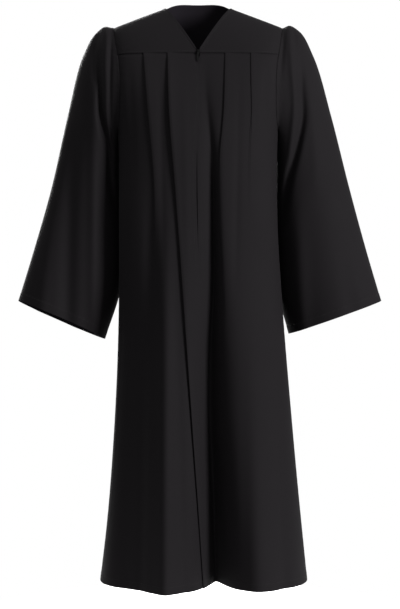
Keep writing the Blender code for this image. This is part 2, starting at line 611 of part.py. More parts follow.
def zip_slider(metal):
    """The slider's body, and the crown in front of it, whose window holds the pull's bar."""
    front, below, above = CROWN_WINDOW
    depths = (-front - CROWN_BAR, -front, front, SLIDER_FRONT, SLIDER_BACK)
    heights = (SLIDER_ABOVE, above, -below, -below - CROWN_BAR, -SLIDER_BELOW)
    bm = bmesh.new()
    half, crown = SLIDER_HALF_WIDTH, CROWN_HALF_WIDTH
    widths = (-half, -crown, crown, half)
    cells = set()
    for i in range(4):
        cells.update(((k, 3, i) for k in range(3)))
    cells.update(((1, 0, i) for i in range(3)))
    cells.update(((1, j, i) for i in (0, 2) for j in (1, 2)))
    corners = {}

    def corner(k, j, i):
        if (k, j, i) not in corners:
            corners[k, j, i] = bm.verts.new((widths[k], depths[j], heights[i]))
        return corners[k, j, i]

    sides = {
        (1, 0, 0): ((1, 0, 0), (1, 1, 0), (1, 1, 1), (1, 0, 1)),
        (-1, 0, 0): ((0, 0, 0), (0, 0, 1), (0, 1, 1), (0, 1, 0)),
        (0, 1, 0): ((0, 1, 0), (0, 1, 1), (1, 1, 1), (1, 1, 0)),
        (0, -1, 0): ((0, 0, 0), (1, 0, 0), (1, 0, 1), (0, 0, 1)),
        (0, 0, 1): ((0, 0, 1), (1, 0, 1), (1, 1, 1), (0, 1, 1)),
        (0, 0, -1): ((0, 0, 0), (0, 1, 0), (1, 1, 0), (1, 0, 0)),
    }
    for k, j, i in sorted(cells):
        for (dk, dj, di), face in sides.items():
            if (k + dk, j + dj, i + di) not in cells:
                bm.faces.new([corner(k + a, j + b, i + c) for a, b, c in face])
    bmesh.ops.recalc_face_normals(bm, faces=bm.faces)
    return finish("zip_slider", bm, metal, pull_frame())


def zip_pull(metal):
    """The pull tab: a bar that turns in the crown's window, an eye round the crown, and a tapered tongue."""
    half, eye, tip = PULL_HALF_WIDTH, PULL_EYE_HALF_WIDTH, PULL_TIP_HALF_WIDTH
    bar = PULL_THICKNESS / 2
    heights = (bar, -bar, -PULL_EYE_END, -PULL_SHOULDER, -PULL_LENGTH)
    edge = (half, half, half, half * PULL_SHOULDER_TAPER, tip)
    inside = (eye, eye, eye, eye * PULL_SHOULDER_TAPER, tip / 2)
    xs = ([-e for e in edge], [-e for e in inside], list(inside), list(edge))
    bm = extruded_cells(xs, heights, {(1, 1)}, -bar, bar)
    obj = finish("zip_pull", bm, metal)
    place = pull_frame()
    obj.location = place.translation
    obj.rotation_euler = place.to_euler()
    return obj


def remove_everything():
    for obj in list(bpy.data.objects):
        bpy.data.objects.remove(obj, do_unlink=True)


def main():
    remove_everything()
    fabric = material("gown_cloth", (0.012, 0.012, 0.013), 0.85)
    yoke_piece(fabric)
    front_panel("front_left", -1, fabric)
    front_panel("front_right", 1, fabric)
    back_panel(fabric)
    sleeve("sleeve_left", -1, SLEEVE_LEFT, fabric)
    sleeve("sleeve_right", 1, SLEEVE_RIGHT, fabric)
    tape = material("zip_tape", (0.010, 0.010, 0.011), 0.9)
    zip_pieces(tape, material("zip_coil", (0.009, 0.009, 0.010), 0.5))
    metal = material("zip_metal", (0.012, 0.012, 0.013), 0.4, 0.6)
    zip_slider(metal)
    zip_pull(metal)


main()
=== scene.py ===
"""A black graduation gown, hollow as worn: cloth shells, seams, stitching and zip around its fixed frame.

Every cloth piece is a surface worked out from the gown's sizes on a grid of two parameters, then given an
inner side. The front faces -Y, +X is to the right of someone looking at the front, and drops are heights
below the origin between the shoulders.
"""

import math

import bpy
import numpy as np
from mathutils import Matrix, Vector


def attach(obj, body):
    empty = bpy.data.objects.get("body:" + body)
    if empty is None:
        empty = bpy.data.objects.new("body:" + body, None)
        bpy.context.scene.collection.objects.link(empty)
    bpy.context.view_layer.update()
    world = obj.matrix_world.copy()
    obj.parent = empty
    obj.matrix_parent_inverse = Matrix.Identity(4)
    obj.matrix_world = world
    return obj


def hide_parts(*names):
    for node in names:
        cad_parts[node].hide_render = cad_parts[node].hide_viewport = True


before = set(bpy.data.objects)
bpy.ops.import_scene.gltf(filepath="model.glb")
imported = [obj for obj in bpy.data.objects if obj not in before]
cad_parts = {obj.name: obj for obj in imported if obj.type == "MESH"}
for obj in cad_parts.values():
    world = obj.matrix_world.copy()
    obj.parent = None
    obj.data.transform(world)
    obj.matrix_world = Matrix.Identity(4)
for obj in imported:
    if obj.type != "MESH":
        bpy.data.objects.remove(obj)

bl_info = {
    "name": "Graduation Gown",
    "version": (1, 0, 0),
    "blender": (4, 5, 0),
    "location": "3D View > Sidebar > Gown",
    "description": "Builds the cloth, stitching, zip and studio of a graduation gown around its frame",
    "category": "Add Mesh",
}

MM = 0.001
GOWN_BODY = "gown"
PULL_BODY = "pull_tab"


def mm(*numbers):
    """Stations for run(), from a place and a value in turn, both in millimetres."""
    return np.reshape(numbers, (-1, 2)) * MM


def down_sleeve(*numbers):
    """Stations for run(), from a percentage of the way down a sleeve and a value in millimetres in turn."""
    return np.reshape(numbers, (-1, 2)) * (0.01, MM)


def folds_of(*listed):
    """Folds, each from its line (drop, x), its height out of the cloth (drop, height) and its half width."""
    return [(mm(*line), mm(*height), width * MM) for line, height, width in listed]


# Sizes of the cut
HEM_DROP = 1.337
FRONT_SEAM_DROP = 0.115
BACK_SEAM_DROP = 0.150
NECK_HALF_WIDTH = 0.078
NECK_BACK_DEPTH = 0.058
V_DROP = 0.106
VEE_BOW = 1.1
SHOULDER_HALF_WIDTH = 0.199
SHOULDER_SLOPE = 0.3755
NAPE_RISE = 0.076
RIDGE_EASE = 8.0 * MM
ARMHOLE_TOP_DROP = 0.0445
ARMHOLE_BOTTOM_DROP = 0.2995
ARMHOLE_HALF_DEPTH = 0.070
ARCH_ANGLE = math.radians(75)
ZIP_END_DROP = 0.6175
SLIDER_NOTCH = 4.0 * MM

# Body sections: drop and size, read smoothly between
HALF_WIDTH_LEFT = mm(115, 200, 150, 199, 200, 196, 300, 187, 500, 184, 800, 187, 1000, 197, 1200, 213, 1337,
                     229)
HALF_WIDTH_RIGHT = mm(115, 200, 150, 199, 200, 196, 300, 187, 500, 185, 700, 197, 960, 219, 1100, 232, 1337,
                      256)
FRONT_DEPTH = mm(115, 88, 200, 108, 300, 118, 500, 125, 800, 150, 1100, 190, 1337, 222)
BACK_DEPTH = mm(115, 90, 150, 98, 250, 112, 400, 110, 600, 115, 900, 145, 1337, 195)
SIDE_SHIFT = mm(115, 0, 300, -12, 450, -30, 700, -30, 1000, -15, 1337, 0)
SQUARENESS = [(0.115, 4.2), (0.2, 3.4), (0.3, 2.6), (0.5, 2.3), (0.9, 2.2), (1.337, 2.05)]
# How steeply folds and pleats die away towards the side seams
SIDE_FADE = 3.0

# Lines down the fronts: drop and x
CENTRE_LINE = mm(115, 0, 500, -1, 640, 4, 730, 11, 920, 20, 1100, 28, 1337, 38)
OUTER_PLEAT_LEFT = mm(115, -124.5, 260, -113, 400, -101, 500, -101, 700, -108, 1337, -115)
INNER_PLEAT_LEFT = mm(115, -69, 260, -65, 420, -52, 590, -39, 730, -29, 960, -12.5, 1180, 3.5, 1337, 14)
INNER_PLEAT_RIGHT = mm(115, 63.5, 260, 58.8, 370, 49.4, 480, 49.4, 640, 56.4, 960, 54, 1337, 61)
OUTER_PLEAT_RIGHT = mm(115, 122, 226, 122, 310, 117.5, 480, 115, 920, 141, 1337, 150)
# The back's pleats: their x at the seam on each side, and how far they spread by each metre down
BACK_PLEATS = (0.060, 0.118)
BACK_PLEAT_SPREAD = 0.35

# Knife pleats: how far the upper cloth stands over the lower, and how closed the fold is, by drop
SHORT_STEP = mm(115, 2.4, 140, 4, 350, 5, 500, 3, 620, 0, 1337, 0)
RIGHT_STEP = mm(115, 2.2, 160, 3.2, 350, 3.6, 550, 3, 750, 0, 1337, 0)
FAINT_STEP = mm(115, 2, 200, 2.2, 300, 1.8, 380, 1, 500, 0, 1337, 0)
LONG_STEP = mm(115, 2.4, 140, 4.5, 500, 6, 1000, 7, 1337, 8)
PRESSED_SHORT = [(0.115, 1.0), (0.36, 1.0), (0.55, 0.0), (1.337, 0.0)]
PRESSED_LONG = [(0.115, 1.0), (1.337, 1.0)]
PRESSED_RIGHT = [(0.115, 1.0), (0.5, 1.0), (0.7, 0.0), (1.337, 0.0)]
PRESSED_FAINT = [(0.115, 1.0), (0.18, 1.0), (0.30, 0.0), (1.337, 0.0)]
# The way over which the upper cloth sinks back to the body beyond a pleat
PLEAT_FADE = 0.030
# The fold's path from the lower cloth to the upper: share of the tuck towards the centre, share of the step
PLEAT_PATH = [(-0.30, 0.0), (0.15, 0.0), (0.70, 0.0), (0.97, 0.06), (1.06, 0.23), (0.97, 0.41), (0.72, 0.46),
              (0.12, 0.48), (-0.07, 0.56), (-0.13, 0.73), (-0.07, 0.92), (0.12, 1.0), (0.60, 1.0)]
PLEAT_COLUMNS = 30

# The deep fold at the centre of the skirt by drop: its line, its depth, its reach either way and its round
VALLEY_X = mm(115, 15, 190, 17, 380, 34, 500, 37, 640, 37, 800, 30, 950, 29, 1100, 35, 1337, 42)
VALLEY_DEPTH = mm(115, 0, 190, 3, 300, 11, 400, 22, 500, 30, 690, 48, 950, 85, 1150, 125, 1337, 172)
VALLEY_LEFT = mm(115, 12, 500, 22, 750, 30, 950, 36, 1337, 40)
VALLEY_RIGHT = mm(115, 10, 300, 7, 500, 7, 650, 11, 750, 18, 900, 30, 1100, 36, 1337, 42)
VALLEY_FLOOR = mm(115, 8, 450, 3, 700, 4, 900, 8, 1337, 8)

FRONT_FOLDS = folds_of(
    ((115, -72, 1337, -74), (115, 0, 450, 0, 700, 11, 1337, 16), 20),
    ((115, -146, 1337, -152), (115, 0, 450, 0, 800, -19, 1337, -27), 45),
    ((115, -106, 1337, -110), (115, 0, 400, 0, 600, -6, 800, 0, 1337, 0), 15),
    ((115, 100, 1337, 135), (115, 0, 600, 0, 1337, 7), 30),
    ((130, -158, 300, -150), (130, 0, 200, -1.6, 320, -1.2, 450, 0), 10),
    ((130, 160, 300, 152), (130, 0, 200, -1.6, 320, -1.2, 450, 0), 10),
    ((200, -86, 600, -78), (130, 0, 250, -0.8, 500, -1.4, 660, 0), 8),
    ((200, 94, 600, 86), (130, 0, 250, -0.8, 500, -1.4, 700, 0), 8),
    ((200, -30, 600, -24), (130, 0, 300, 0.8, 600, 1, 800, 0), 10),
    ((700, 175, 1337, 196), (700, 0, 950, -4, 1337, -9), 16),
    ((700, 104, 1337, 108), (700, 0, 1000, -1.5, 1337, -3), 16),
    ((700, -50, 1337, -30), (700, 0, 1000, -2.5, 1337, -5), 12),
    ((700, -120, 1337, -128), (700, 0, 1000, -3, 1337, -5), 11),
)

# The back's flutes, six to a half turn, and its folds
BACK_FLUTE = mm(115, 0, 350, 4, 700, 12, 1000, 22, 1337, 34)
FLUTES = 6
BACK_FOLDS = folds_of(
    ((160, -160, 340, -148), (160, 0, 240, -2, 360, -1.4, 500, 0), 11),
    ((160, 158, 340, 150), (160, 0, 250, -1.8, 370, -1.4, 520, 0), 11),
    ((200, -88, 600, -92), (170, 0, 300, -1, 550, -1.5, 800, 0), 9),
    ((200, 84, 600, 90), (170, 0, 320, -1, 500, -1.5, 750, 0), 9),
    ((200, 6, 800, -10), (200, 0, 400, -1.2, 800, -3, 1337, -4), 10),
    ((700, -45, 1337, -62), (700, 0, 1000, -3, 1337, -6), 13),
    ((750, 52, 1337, 70), (750, 0, 1050, -3, 1337, -6.5), 13),
    ((700, -150, 1337, -170), (700, 0, 1000, -4, 1337, -8), 15),
    ((700, 148, 1337, 176), (700, 0, 1000, -4, 1337, -8), 15),
)

# Both sleeves: how deep they are and how far back they hang
SLEEVE_HALF_DEPTH = down_sleeve(0, 70, 10, 78, 20, 82, 40, 85, 60, 88, 80, 94, 100, 100)
SLEEVE_SHIFT = down_sleeve(0, 0, 10, 12, 20, 24, 40, 40, 60, 44, 100, 42)
# The share of a sleeve over which its head is drawn onto the armhole
HEAD_BLEND = 0.16
# A sleeve's outer and inner line, how far its cuff is lower in front, and its folds on the front and the back
SLEEVE_LEFT = {
    "outer_x": down_sleeve(0, 199, 5, 220.5, 10, 242, 20, 271.5, 40, 309, 60, 347, 80, 388, 100, 426.5),
    "outer_drop": down_sleeve(0, 44.5, 5, 40.5, 10, 56.5, 20, 107, 40, 245, 60, 412, 80, 558, 100, 686),
    "inner_x": down_sleeve(0, 187.2, 10, 185, 20, 184, 40, 180, 60, 177.5, 80, 185, 100, 221.5),
    "inner_drop": down_sleeve(0, 299.5, 10, 335, 20, 375, 40, 455, 60, 555, 80, 661, 100, 775),
    "cuff_tilt": 9.0 * MM,
    "front": folds_of(
        ((40, -226, 90, -240, 130, -244, 190, -238), (30, 0, 60, -3, 100, -6, 140, -4, 200, 0), 6),
        ((80, -236, 120, -233, 190, -225.6, 260, -223.2, 330, -209, 400, -205, 470, -195), (80, 0, 130, -6,
         200, -12, 330, -14, 420, -8, 500, 0), 8.5),
        ((60, -205, 150, -207.5, 280, -201.5, 360, -196), (50, 0, 80, -2.5, 200, -3, 300, -2, 380, 0), 3.5),
        ((30, -209, 100, -215, 250, -214, 330, -203), (30, 0, 60, 3, 150, 4, 270, 3, 360, 0), 6),
        ((40, -218, 80, -223), (30, 0, 60, -2.5, 100, 0), 3.5),
        ((200, -240, 720, -240), (180, 0, 300, 5, 720, 9), 15),
        ((200, -284, 450, -298, 750, -304), (160, 0, 350, -7, 720, -12), 20),
        ((400, -340, 720, -362), (350, 0, 550, 4, 700, 6), 18),
    ),
    "back": folds_of(
        ((100, -240, 250, -220, 400, -205), (80, 0, 150, -5, 300, -4, 420, 0), 10),
        ((350, -262, 750, -300), (350, 0, 550, -5, 750, -9), 16),
        ((500, -345, 700, -380), (500, 0, 600, -4, 700, -8), 14),
    ),
}
SLEEVE_RIGHT = {
    "outer_x": down_sleeve(0, 199, 5, 217, 10, 240.5, 20, 272, 40, 316, 60, 358.5, 80, 398.5, 100, 435),
    "outer_drop": down_sleeve(0, 44.5, 5, 37.5, 10, 52, 20, 106, 40, 246, 60, 412, 80, 560, 100, 685),
    "inner_x": down_sleeve(0, 187.2, 10, 185, 20, 184, 40, 181, 60, 180, 80, 190, 100, 215.5),
    "inner_drop": down_sleeve(0, 299.5, 10, 335, 20, 375, 40, 455, 60, 555, 80, 665, 100, 763),
    "cuff_tilt": 0.0,
    "front": folds_of(
        ((80, 236, 120, 237.5, 190, 239.7, 260, 242, 330, 230, 400, 212, 470, 200), (70, 0, 120, -3, 200,
         -7, 300, -12, 420, -9, 520, 0), 9),
        ((60, 203, 130, 201, 180, 199), (50, 0, 90, -3, 190, 0), 4),
        ((40, 214, 120, 218, 250, 222, 330, 214), (30, 0, 70, 3, 170, 4, 300, 3, 400, 0), 7),
        ((40, 224, 90, 228), (30, 0, 60, -2, 110, 0), 4),
        ((140, 264, 350, 274), (100, 0, 200, 4, 330, 3, 450, 0), 14),
        ((450, 230, 750, 240), (420, 0, 550, 5, 750, 9), 20),
        ((500, 330, 720, 360), (450, 0, 600, -1.5, 720, -4), 20),
    ),
    "back": folds_of(
        ((100, 238, 250, 222, 400, 206), (80, 0, 160, -5, 300, -4, 420, 0), 10),
        ((350, 258, 750, 296), (350, 0, 550, -5, 750, -9), 16),
        ((500, 350, 700, 384), (500, 0, 600, -4, 700, -8), 14),
    ),
}

# Zip
TAPE_WIDTH = 11.0 * MM
TAPE_THICKNESS = 0.5 * MM
TAPE_BEHIND = 2.4 * MM
TAPE_START = 1.1 * MM
TAPE_GAP = 0.3 * MM
COIL_TOP_DROP = 0.1200
TOOTH_PITCH = 1.5 * MM
TOOTH_RADIUS = 0.36 * MM
# The coil's loops: from the centre line, across and deep, behind the tape's face, and pitched a little close
COIL_AWAY, COIL_REACH, COIL_DEPTH, COIL_BEHIND = 0.75 * MM, 1.0 * MM, 0.62 * MM, 0.8 * MM
COIL_SQUEEZE = 0.998
PULL_AXIS_DROP = 0.1115
PULL_AXIS_OUT = 2.4 * MM
# The depth of the cloth behind the slider is read this far below the pull's axis
PULL_LEVEL = 5.0 * MM
PULL_TILT = 13.5
PULL_LENGTH = 27.0 * MM
PULL_THICKNESS = 1.0 * MM
# The pull's half width by the way below its axis, and its eye
PULL_HALF_WIDTH = mm(-0.5, 2.5, 5, 2.5, 9, 2, 22, 2.4, 27, 2)
EYE_TOP, EYE_BOTTOM, EYE_HALF_WIDTH = -0.55 * MM, -4.9 * MM, 1.4 * MM
# How deep the tongue's faces are pressed in, and from where
DENT, DENT_TOP = 0.14 * MM, 8.0 * MM
# The slider about the pull's axis: its two plates, the bridge between them and the crown over the pull's eye
PLATE_DEPTHS, PLATE_MIDDLE = (2.0 * MM, 5.0 * MM), -2.25 * MM
PLATE_HALF, PLATE_ROUND, PLATE_TAPER = (3.1 * MM, 0.6 * MM, 4.2 * MM), 0.5 * MM, 0.22
TAPER_TOP, TAPER_LENGTH = 2.0 * MM, 4.5 * MM
BRIDGE_PLACE, BRIDGE_HALF = (0, 3.5 * MM, 0.4 * MM), (0.9 * MM, 1.6 * MM, 1.3 * MM)
CROWN_MIDDLE, CROWN_HALF, CROWN_ROUND = -0.85 * MM, (0.75 * MM, 0.45 * MM, 2.6 * MM), 0.4 * MM
CROWN_OUT, CROWN_BACK = 1.45 * MM, 3.0 * MM
# Half the gap between the two front edges: round the slider, pressed shut, then let apart by the wearer
PLACKET = mm(115, 4, 121, 4, 137, 0.5, 360, 0.4, 410, 0.8, 480, 0.9, 530, 0.4, 1337, 0.2)

# Seams: how far cloth sinks into one and how wide, how wide the panels sink under the yoke, and how wide a
# hem's step is
SEAM_DIP, SEAM_WIDTH = 0.9 * MM, 2.2 * MM
SLEEVE_SEAM_DIP, SLEEVE_SEAM_WIDTH = 0.5 * MM, 2.0 * MM
SEAM_TUCK_WIDTH = 7.0 * MM
# The panels start this far below the yoke's seam
SEAM_GAP = 0.2 * MM
STEP_WIDTH = 1.5 * MM
# A turned hem stands out this much, and its stitching draws it in this much and this wide
HEM_RISE, HEM_DRAW, HEM_DRAW_WIDTH = 0.4 * MM, 0.35 * MM, 1.6 * MM
# The yoke's rolled neck edge and its lap over the panels: how far in each lies and how wide it is, and how
# far the lap rises and is turned
NECK_ROLL_IN, NECK_ROLL_WIDTH = 1.5 * MM, 2.0 * MM
LAP_IN, LAP_WIDTH, LAP_RISE, LAP_TURNED = 1.0 * MM, 3.0 * MM, 0.4 * MM, 9.0 * MM
# The rounded rise of a sleeve's head beyond its seam
HEAD_RISE, HEAD_RISE_IN, HEAD_RISE_WIDTH = 0.9 * MM, 6.0 * MM, 4.0 * MM
# A sleeve's allowance inside the armhole: how far it reaches in, and how far it shrinks from the loop
ALLOWANCE_IN, ALLOWANCE_SHRINK = 5.0 * MM, 2.5 * MM
# Between the ripples of each seam, and how much stronger they are where a sleeve is eased in
PANEL_PITCH, YOKE_PITCH, SLEEVE_PITCH, SLEEVE_EASE = 21.0 * MM, 19.0 * MM, 17.0 * MM, 1.3
# Below the armhole the side seam's ripples weaken, to this share over this way
RIPPLE_LOSS, RIPPLE_WAY = 0.7, 0.15
# The share of its pitch that a stitch's thread shows, and where rows of stitches lie from an edge
STITCH_SHARE = 0.74
HEM_STITCH_IN = 2.5 * MM
SEAM_STITCH_IN = 6.0 * MM
NECK_STITCH_IN = 7.0 * MM
# The rows beside the zip start under the yoke and stop above the zip's end
ZIP_STITCH_TOP, ZIP_STITCH_END = 0.128, ZIP_END_DROP - 5.0 * MM

# Grids: rows and columns of each piece
FRONT_GRID = (230, 40, 28, 34)
BACK_GRID = (194, 26, 16, 20)
SLEEVE_GRID = (188, 156)
YOKE_GRID = (58, 60, 80, 60)
YOKE_CROWDING = 0.08
ARMHOLE_STEPS, OVER_STEPS = 90, 60
TAPE_GRID = (200, 9)
TUBE_SIDES = 6
COIL_STEPS = 8


def run(at, stations):
    """A value read from a short list of (place, value), along a cubic through its points."""
    places, values = np.asarray(stations, float).T
    slopes = np.gradient(values, places)
    at = np.clip(np.asarray(at, float), places[0], places[-1])
    i = np.clip(np.searchsorted(places, at, side="right") - 1, 0, len(places) - 2)
    width = places[i + 1] - places[i]
    t = (at - places[i]) / width
    return (
        (1 + 2 * t) * (1 - t) ** 2 * values[i]
        + t * (1 - t) ** 2 * width * slopes[i]
        + t * t * (3 - 2 * t) * values[i + 1]
        - t * t * (1 - t) * width * slopes[i + 1]
    )


def bell(distance, width):
    """A soft bump, 1 in the middle, that dies away at about twice its width."""
    return np.exp(-((distance / width) ** 2))


def half_width(x_sign, drop):
    """The body's half width at a drop, on the side that x_sign points to."""
    return np.where(x_sign < 0, run(drop, HALF_WIDTH_LEFT), run(drop, HALF_WIDTH_RIGHT))


def turn_at(x, drop):
    """The turn round the section, 0 at the middle and a quarter turn at the side, where it crosses x."""
    share = np.abs(x) / half_width(x, drop)
    return np.sign(x) * np.arcsin(np.clip(share, 0, 1) ** (run(drop, SQUARENESS) / 2))


def x_at(turn, drop):
    """The x of a turn round the section, the reverse of turn_at."""
    sine = np.sin(turn)
    return half_width(sine, drop) * np.sign(sine) * np.abs(sine) ** (2 / run(drop, SQUARENESS))


def half_depth(face, drop):
    """From the side seams to the middle of the front (face -1) or of the back (face 1)."""
    return run(drop, FRONT_DEPTH if face < 0 else BACK_DEPTH) - face * run(drop, SIDE_SHIFT)


def plain_torso(face, turn, drop):
    """The body with no folds: a squarish ellipse at each drop, x = w |sin|^p and y = s + d |cos|^p."""
    turn, drop = np.broadcast_arrays(np.asarray(turn, float), np.asarray(drop, float))
    cosine = np.clip(np.cos(turn), 0, 1) ** (2 / run(drop, SQUARENESS))
    y = run(drop, SIDE_SHIFT) + face * half_depth(face, drop) * cosine
    return np.stack([x_at(turn, drop), y, -drop], axis=-1)


def folds(x, drop, listed):
    """The heights of listed folds: each a soft ridge or trough along its own line down the cloth."""
    total = np.zeros(np.broadcast(x, drop).shape)
    for line, height, width in listed:
        total = total + run(drop, height) * bell(x - run(drop, line), width)
    return total


def front_relief(x, drop):
    """How far the fronts stand out of their plain section: folds, and the centre valley falling in."""
    away = x - run(drop, VALLEY_X)
    width = np.where(away < 0, run(drop, VALLEY_LEFT), run(drop, VALLEY_RIGHT))
    floor = run(drop, VALLEY_FLOOR)
    reach = np.hypot(away, floor) - floor
    return folds(x, drop, FRONT_FOLDS) - run(drop, VALLEY_DEPTH) * np.exp(-reach / width)


def back_relief(x, turn, drop):
    """How far the back stands out: the flutes that fall from the pleats, a cosine of the turn, and folds."""
    return folds(x, drop, BACK_FOLDS) + run(drop, BACK_FLUTE) * np.cos(FLUTES * turn)


def armhole_turn(face, sign, drop):
    """Where the armhole cuts the section: an upright ellipse in depth and height, closed at the underarm."""
    middle = (ARMHOLE_TOP_DROP + ARMHOLE_BOTTOM_DROP) / 2
    reach = (ARMHOLE_BOTTOM_DROP - ARMHOLE_TOP_DROP) / 2
    level = np.clip(1 - ((drop - middle) / reach) ** 2, 0, 1)
    depth = np.where(drop < ARMHOLE_BOTTOM_DROP, ARMHOLE_HALF_DEPTH * np.sqrt(level), 0)
    return sign * np.arccos(np.clip(depth / half_depth(face, drop), 0, 1) ** (run(drop, SQUARENESS) / 2))


def shoulder_drop(x):
    """The shoulder's ridge: straight down from the side of the neck, and rounded up to the nape inside it."""
    away = np.abs(x)
    slope = SHOULDER_SLOPE * (away - NECK_HALF_WIDTH)
    nape = -NAPE_RISE * (1 - np.clip(away / NECK_HALF_WIDTH, 0, 1) ** 2)
    return np.where(away > NECK_HALF_WIDTH, slope, nape)


def ridge_drop(x, arch):
    """The ridge that each arch springs from: eased beside the neck on the back, straight on the front."""
    eased = sum(shoulder_drop(x + k * RIDGE_EASE) for k in (-1, -0.5, 0, 0.5, 1)) / 5
    straight = SHOULDER_SLOPE * (np.abs(x) - NECK_HALF_WIDTH)
    return np.where(arch < 0, straight, eased + (straight - eased) * bell(arch, 0.1))


def yoke_surface(x, arch):
    """The yoke: at each x an arch from the front seam (-1) over the ridge (0) to the back seam (1)."""
    face = np.where(arch < 0, -1, 1)
    seam = np.where(face < 0, FRONT_SEAM_DROP, BACK_SEAM_DROP)
    front = plain_torso(-1, turn_at(x, FRONT_SEAM_DROP), FRONT_SEAM_DROP)[..., 1]
    back = plain_torso(1, turn_at(x, BACK_SEAM_DROP), BACK_SEAM_DROP)[..., 1]
    angle = np.abs(arch) * ARCH_ANGLE
    y = np.where(face < 0, front, back) * np.sin(angle) / math.sin(ARCH_ANGLE)
    ridge = ridge_drop(x, arch)
    drop = ridge + (seam - ridge) * (1 - np.cos(angle)) / (1 - math.cos(ARCH_ANGLE))
    return np.stack([x, y, -drop], axis=-1)


def arch_at_drop(x, drop):
    """The place on the front arch at x that lies at this drop."""
    ridge = SHOULDER_SLOPE * (np.abs(x) - NECK_HALF_WIDTH)
    cosine = 1 - (drop - ridge) / (FRONT_SEAM_DROP - ridge) * (1 - math.cos(ARCH_ANGLE))
    return -np.arccos(np.clip(cosine, -1, 1)) / ARCH_ANGLE


def yoke_arm_x(arch):
    """The armhole edge of the yoke, from the shoulder point to where each seam meets the armhole."""
    front = plain_torso(-1, armhole_turn(-1, 1, FRONT_SEAM_DROP), FRONT_SEAM_DROP)[..., 0]
    back = plain_torso(1, armhole_turn(1, 1, BACK_SEAM_DROP), BACK_SEAM_DROP)[..., 0]
    end = np.where(arch < 0, front, back)
    return end + (SHOULDER_HALF_WIDTH - end) * np.cos(arch * math.pi / 2)


def unit(vectors):
    """Vectors at length 1."""
    return vectors / np.maximum(np.linalg.norm(vectors, axis=-1, keepdims=True), 1e-12)


def lengths_along(path):
    """How far each point lies along a path."""
    return np.concatenate([[0.0], np.cumsum(np.linalg.norm(np.diff(path, axis=0), axis=-1))])


def at_lengths(places, length, values):
    """Values at these lengths along a path, straight between its points."""
    return np.stack([np.interp(places, length, values[:, k]) for k in range(3)], axis=-1)


def boxy(sine, power):
    """A sine drawn out towards its ends by a power under 1, for the round of a squarish loop."""
    return np.sign(sine) * np.abs(sine) ** power


def grid_normals(points, closed=False):
    """The outward direction at each point of a grid whose rows run down and columns to the right."""
    along = np.gradient(points, axis=0)
    if closed:
        wrapped = np.concatenate([points[:, -1:], points, points[:, :1]], axis=1)
        across = np.gradient(wrapped, axis=1)[:, 1:-1]
    else:
        across = np.gradient(points, axis=1)
    return unit(np.cross(along, across))


def cloth_lengths(points, closed=False):
    """How far each grid point lies along the cloth, across and down from its first column and row."""
    if closed:
        points = np.concatenate([points, points[:, :1]], axis=1)
    across = np.linalg.norm(np.diff(points, axis=1), axis=-1)
    down = np.linalg.norm(np.diff(points, axis=0), axis=-1)
    across = np.concatenate([np.zeros((points.shape[0], 1)), np.cumsum(across, axis=1)], axis=1)
    down = np.concatenate([np.zeros((1, points.shape[1])), np.cumsum(down, axis=0)], axis=0)
    return across, down


def grid_faces(index, flip=False):
    """The quads of a grid of vertex numbers, whose corners run down and then to the right."""
    faces = np.stack([index[:-1, :-1], index[1:, :-1], index[1:, 1:], index[:-1, 1:]], axis=-1).reshape(-1, 4)
    return faces[:, ::-1] if flip else faces


def make_object(name, points, faces, surface_materials, uv=None, inner=None, sharp=60):
    """An object of these points and faces, smooth but for its hard edges, with the cloth lengths as its UV.

    surface_materials is one material, or a cloth's face and inner side, with inner marking the inner faces.
    """
    mesh = bpy.data.meshes.new(name)
    mesh.vertices.add(len(points))
    mesh.vertices.foreach_set("co", np.ascontiguousarray(points, np.float32).ravel())
    mesh.loops.add(faces.size)
    mesh.loops.foreach_set("vertex_index", np.ascontiguousarray(faces, np.int32).ravel())
    mesh.polygons.add(len(faces))
    mesh.polygons.foreach_set("loop_start", np.arange(0, faces.size, faces.shape[1], dtype=np.int32))
    mesh.update(calc_edges=True)
    if uv is not None:
        layer = mesh.uv_layers.new(name="cloth")
        layer.data.foreach_set("uv", np.ascontiguousarray(uv, np.float32).ravel())
    mesh.shade_smooth()
    mesh.set_sharp_from_angle(angle=math.radians(sharp))
    for surface in surface_materials if isinstance(surface_materials, tuple) else (surface_materials,):
        mesh.materials.append(surface)
    if inner is not None:
        mesh.polygons.foreach_set("material_index", np.ascontiguousarray(inner, np.int32))
    made = bpy.data.objects.new(name, mesh)
    bpy.context.collection.objects.link(made)
    return made


def cloth_shell(name, outer, normals, thickness, fabric, closed=False):
    """A cloth: the grid is its outer side, the inner side lies a thickness behind, and rims close it."""
    inner = outer - normals * np.broadcast_to(thickness, outer.shape[:2])[..., None]
    rows, columns = outer.shape[:2]
    index = np.arange(rows * columns).reshape(rows, columns)
    if closed:
        index = np.concatenate([index, index[:, :1]], axis=1)
    back = index + rows * columns
    across, down = cloth_lengths(outer, closed)
    lengths = np.stack([across, down], axis=-1).reshape(-1, 2)
    place = np.arange(index.size).reshape(index.shape)
    strips = [(index, place, False), (back, place, True)]
    for i, flip in ((0, False), (rows - 1, True)):
        strips.append((np.stack([back[i], index[i]]), np.stack([place[i], place[i]]), flip))
    if not closed:
        for j, flip in ((0, False), (index.shape[1] - 1, True)):
            pair = np.stack([back[:, j], index[:, j]], axis=1)
            strips.append((pair, np.stack([place[:, j], place[:, j]], axis=1), flip))
    faces = np.concatenate([grid_faces(at, flip) for at, _, flip in strips])
    corners = np.concatenate([grid_faces(at, flip) for _, at, flip in strips])
    points = np.concatenate([outer.reshape(-1, 3), inner.reshape(-1, 3)])
    inside = (faces >= rows * columns).all(axis=1) if isinstance(fabric, tuple) else None
    return make_object(name, points, faces, fabric, lengths[corners.ravel()], inside)


def turned(distance, width):
    """1 within a turned hem's width of its edge and 0 beyond, with a soft step between."""
    return np.clip((width - distance) / STEP_WIDTH + 0.5, 0, 1)


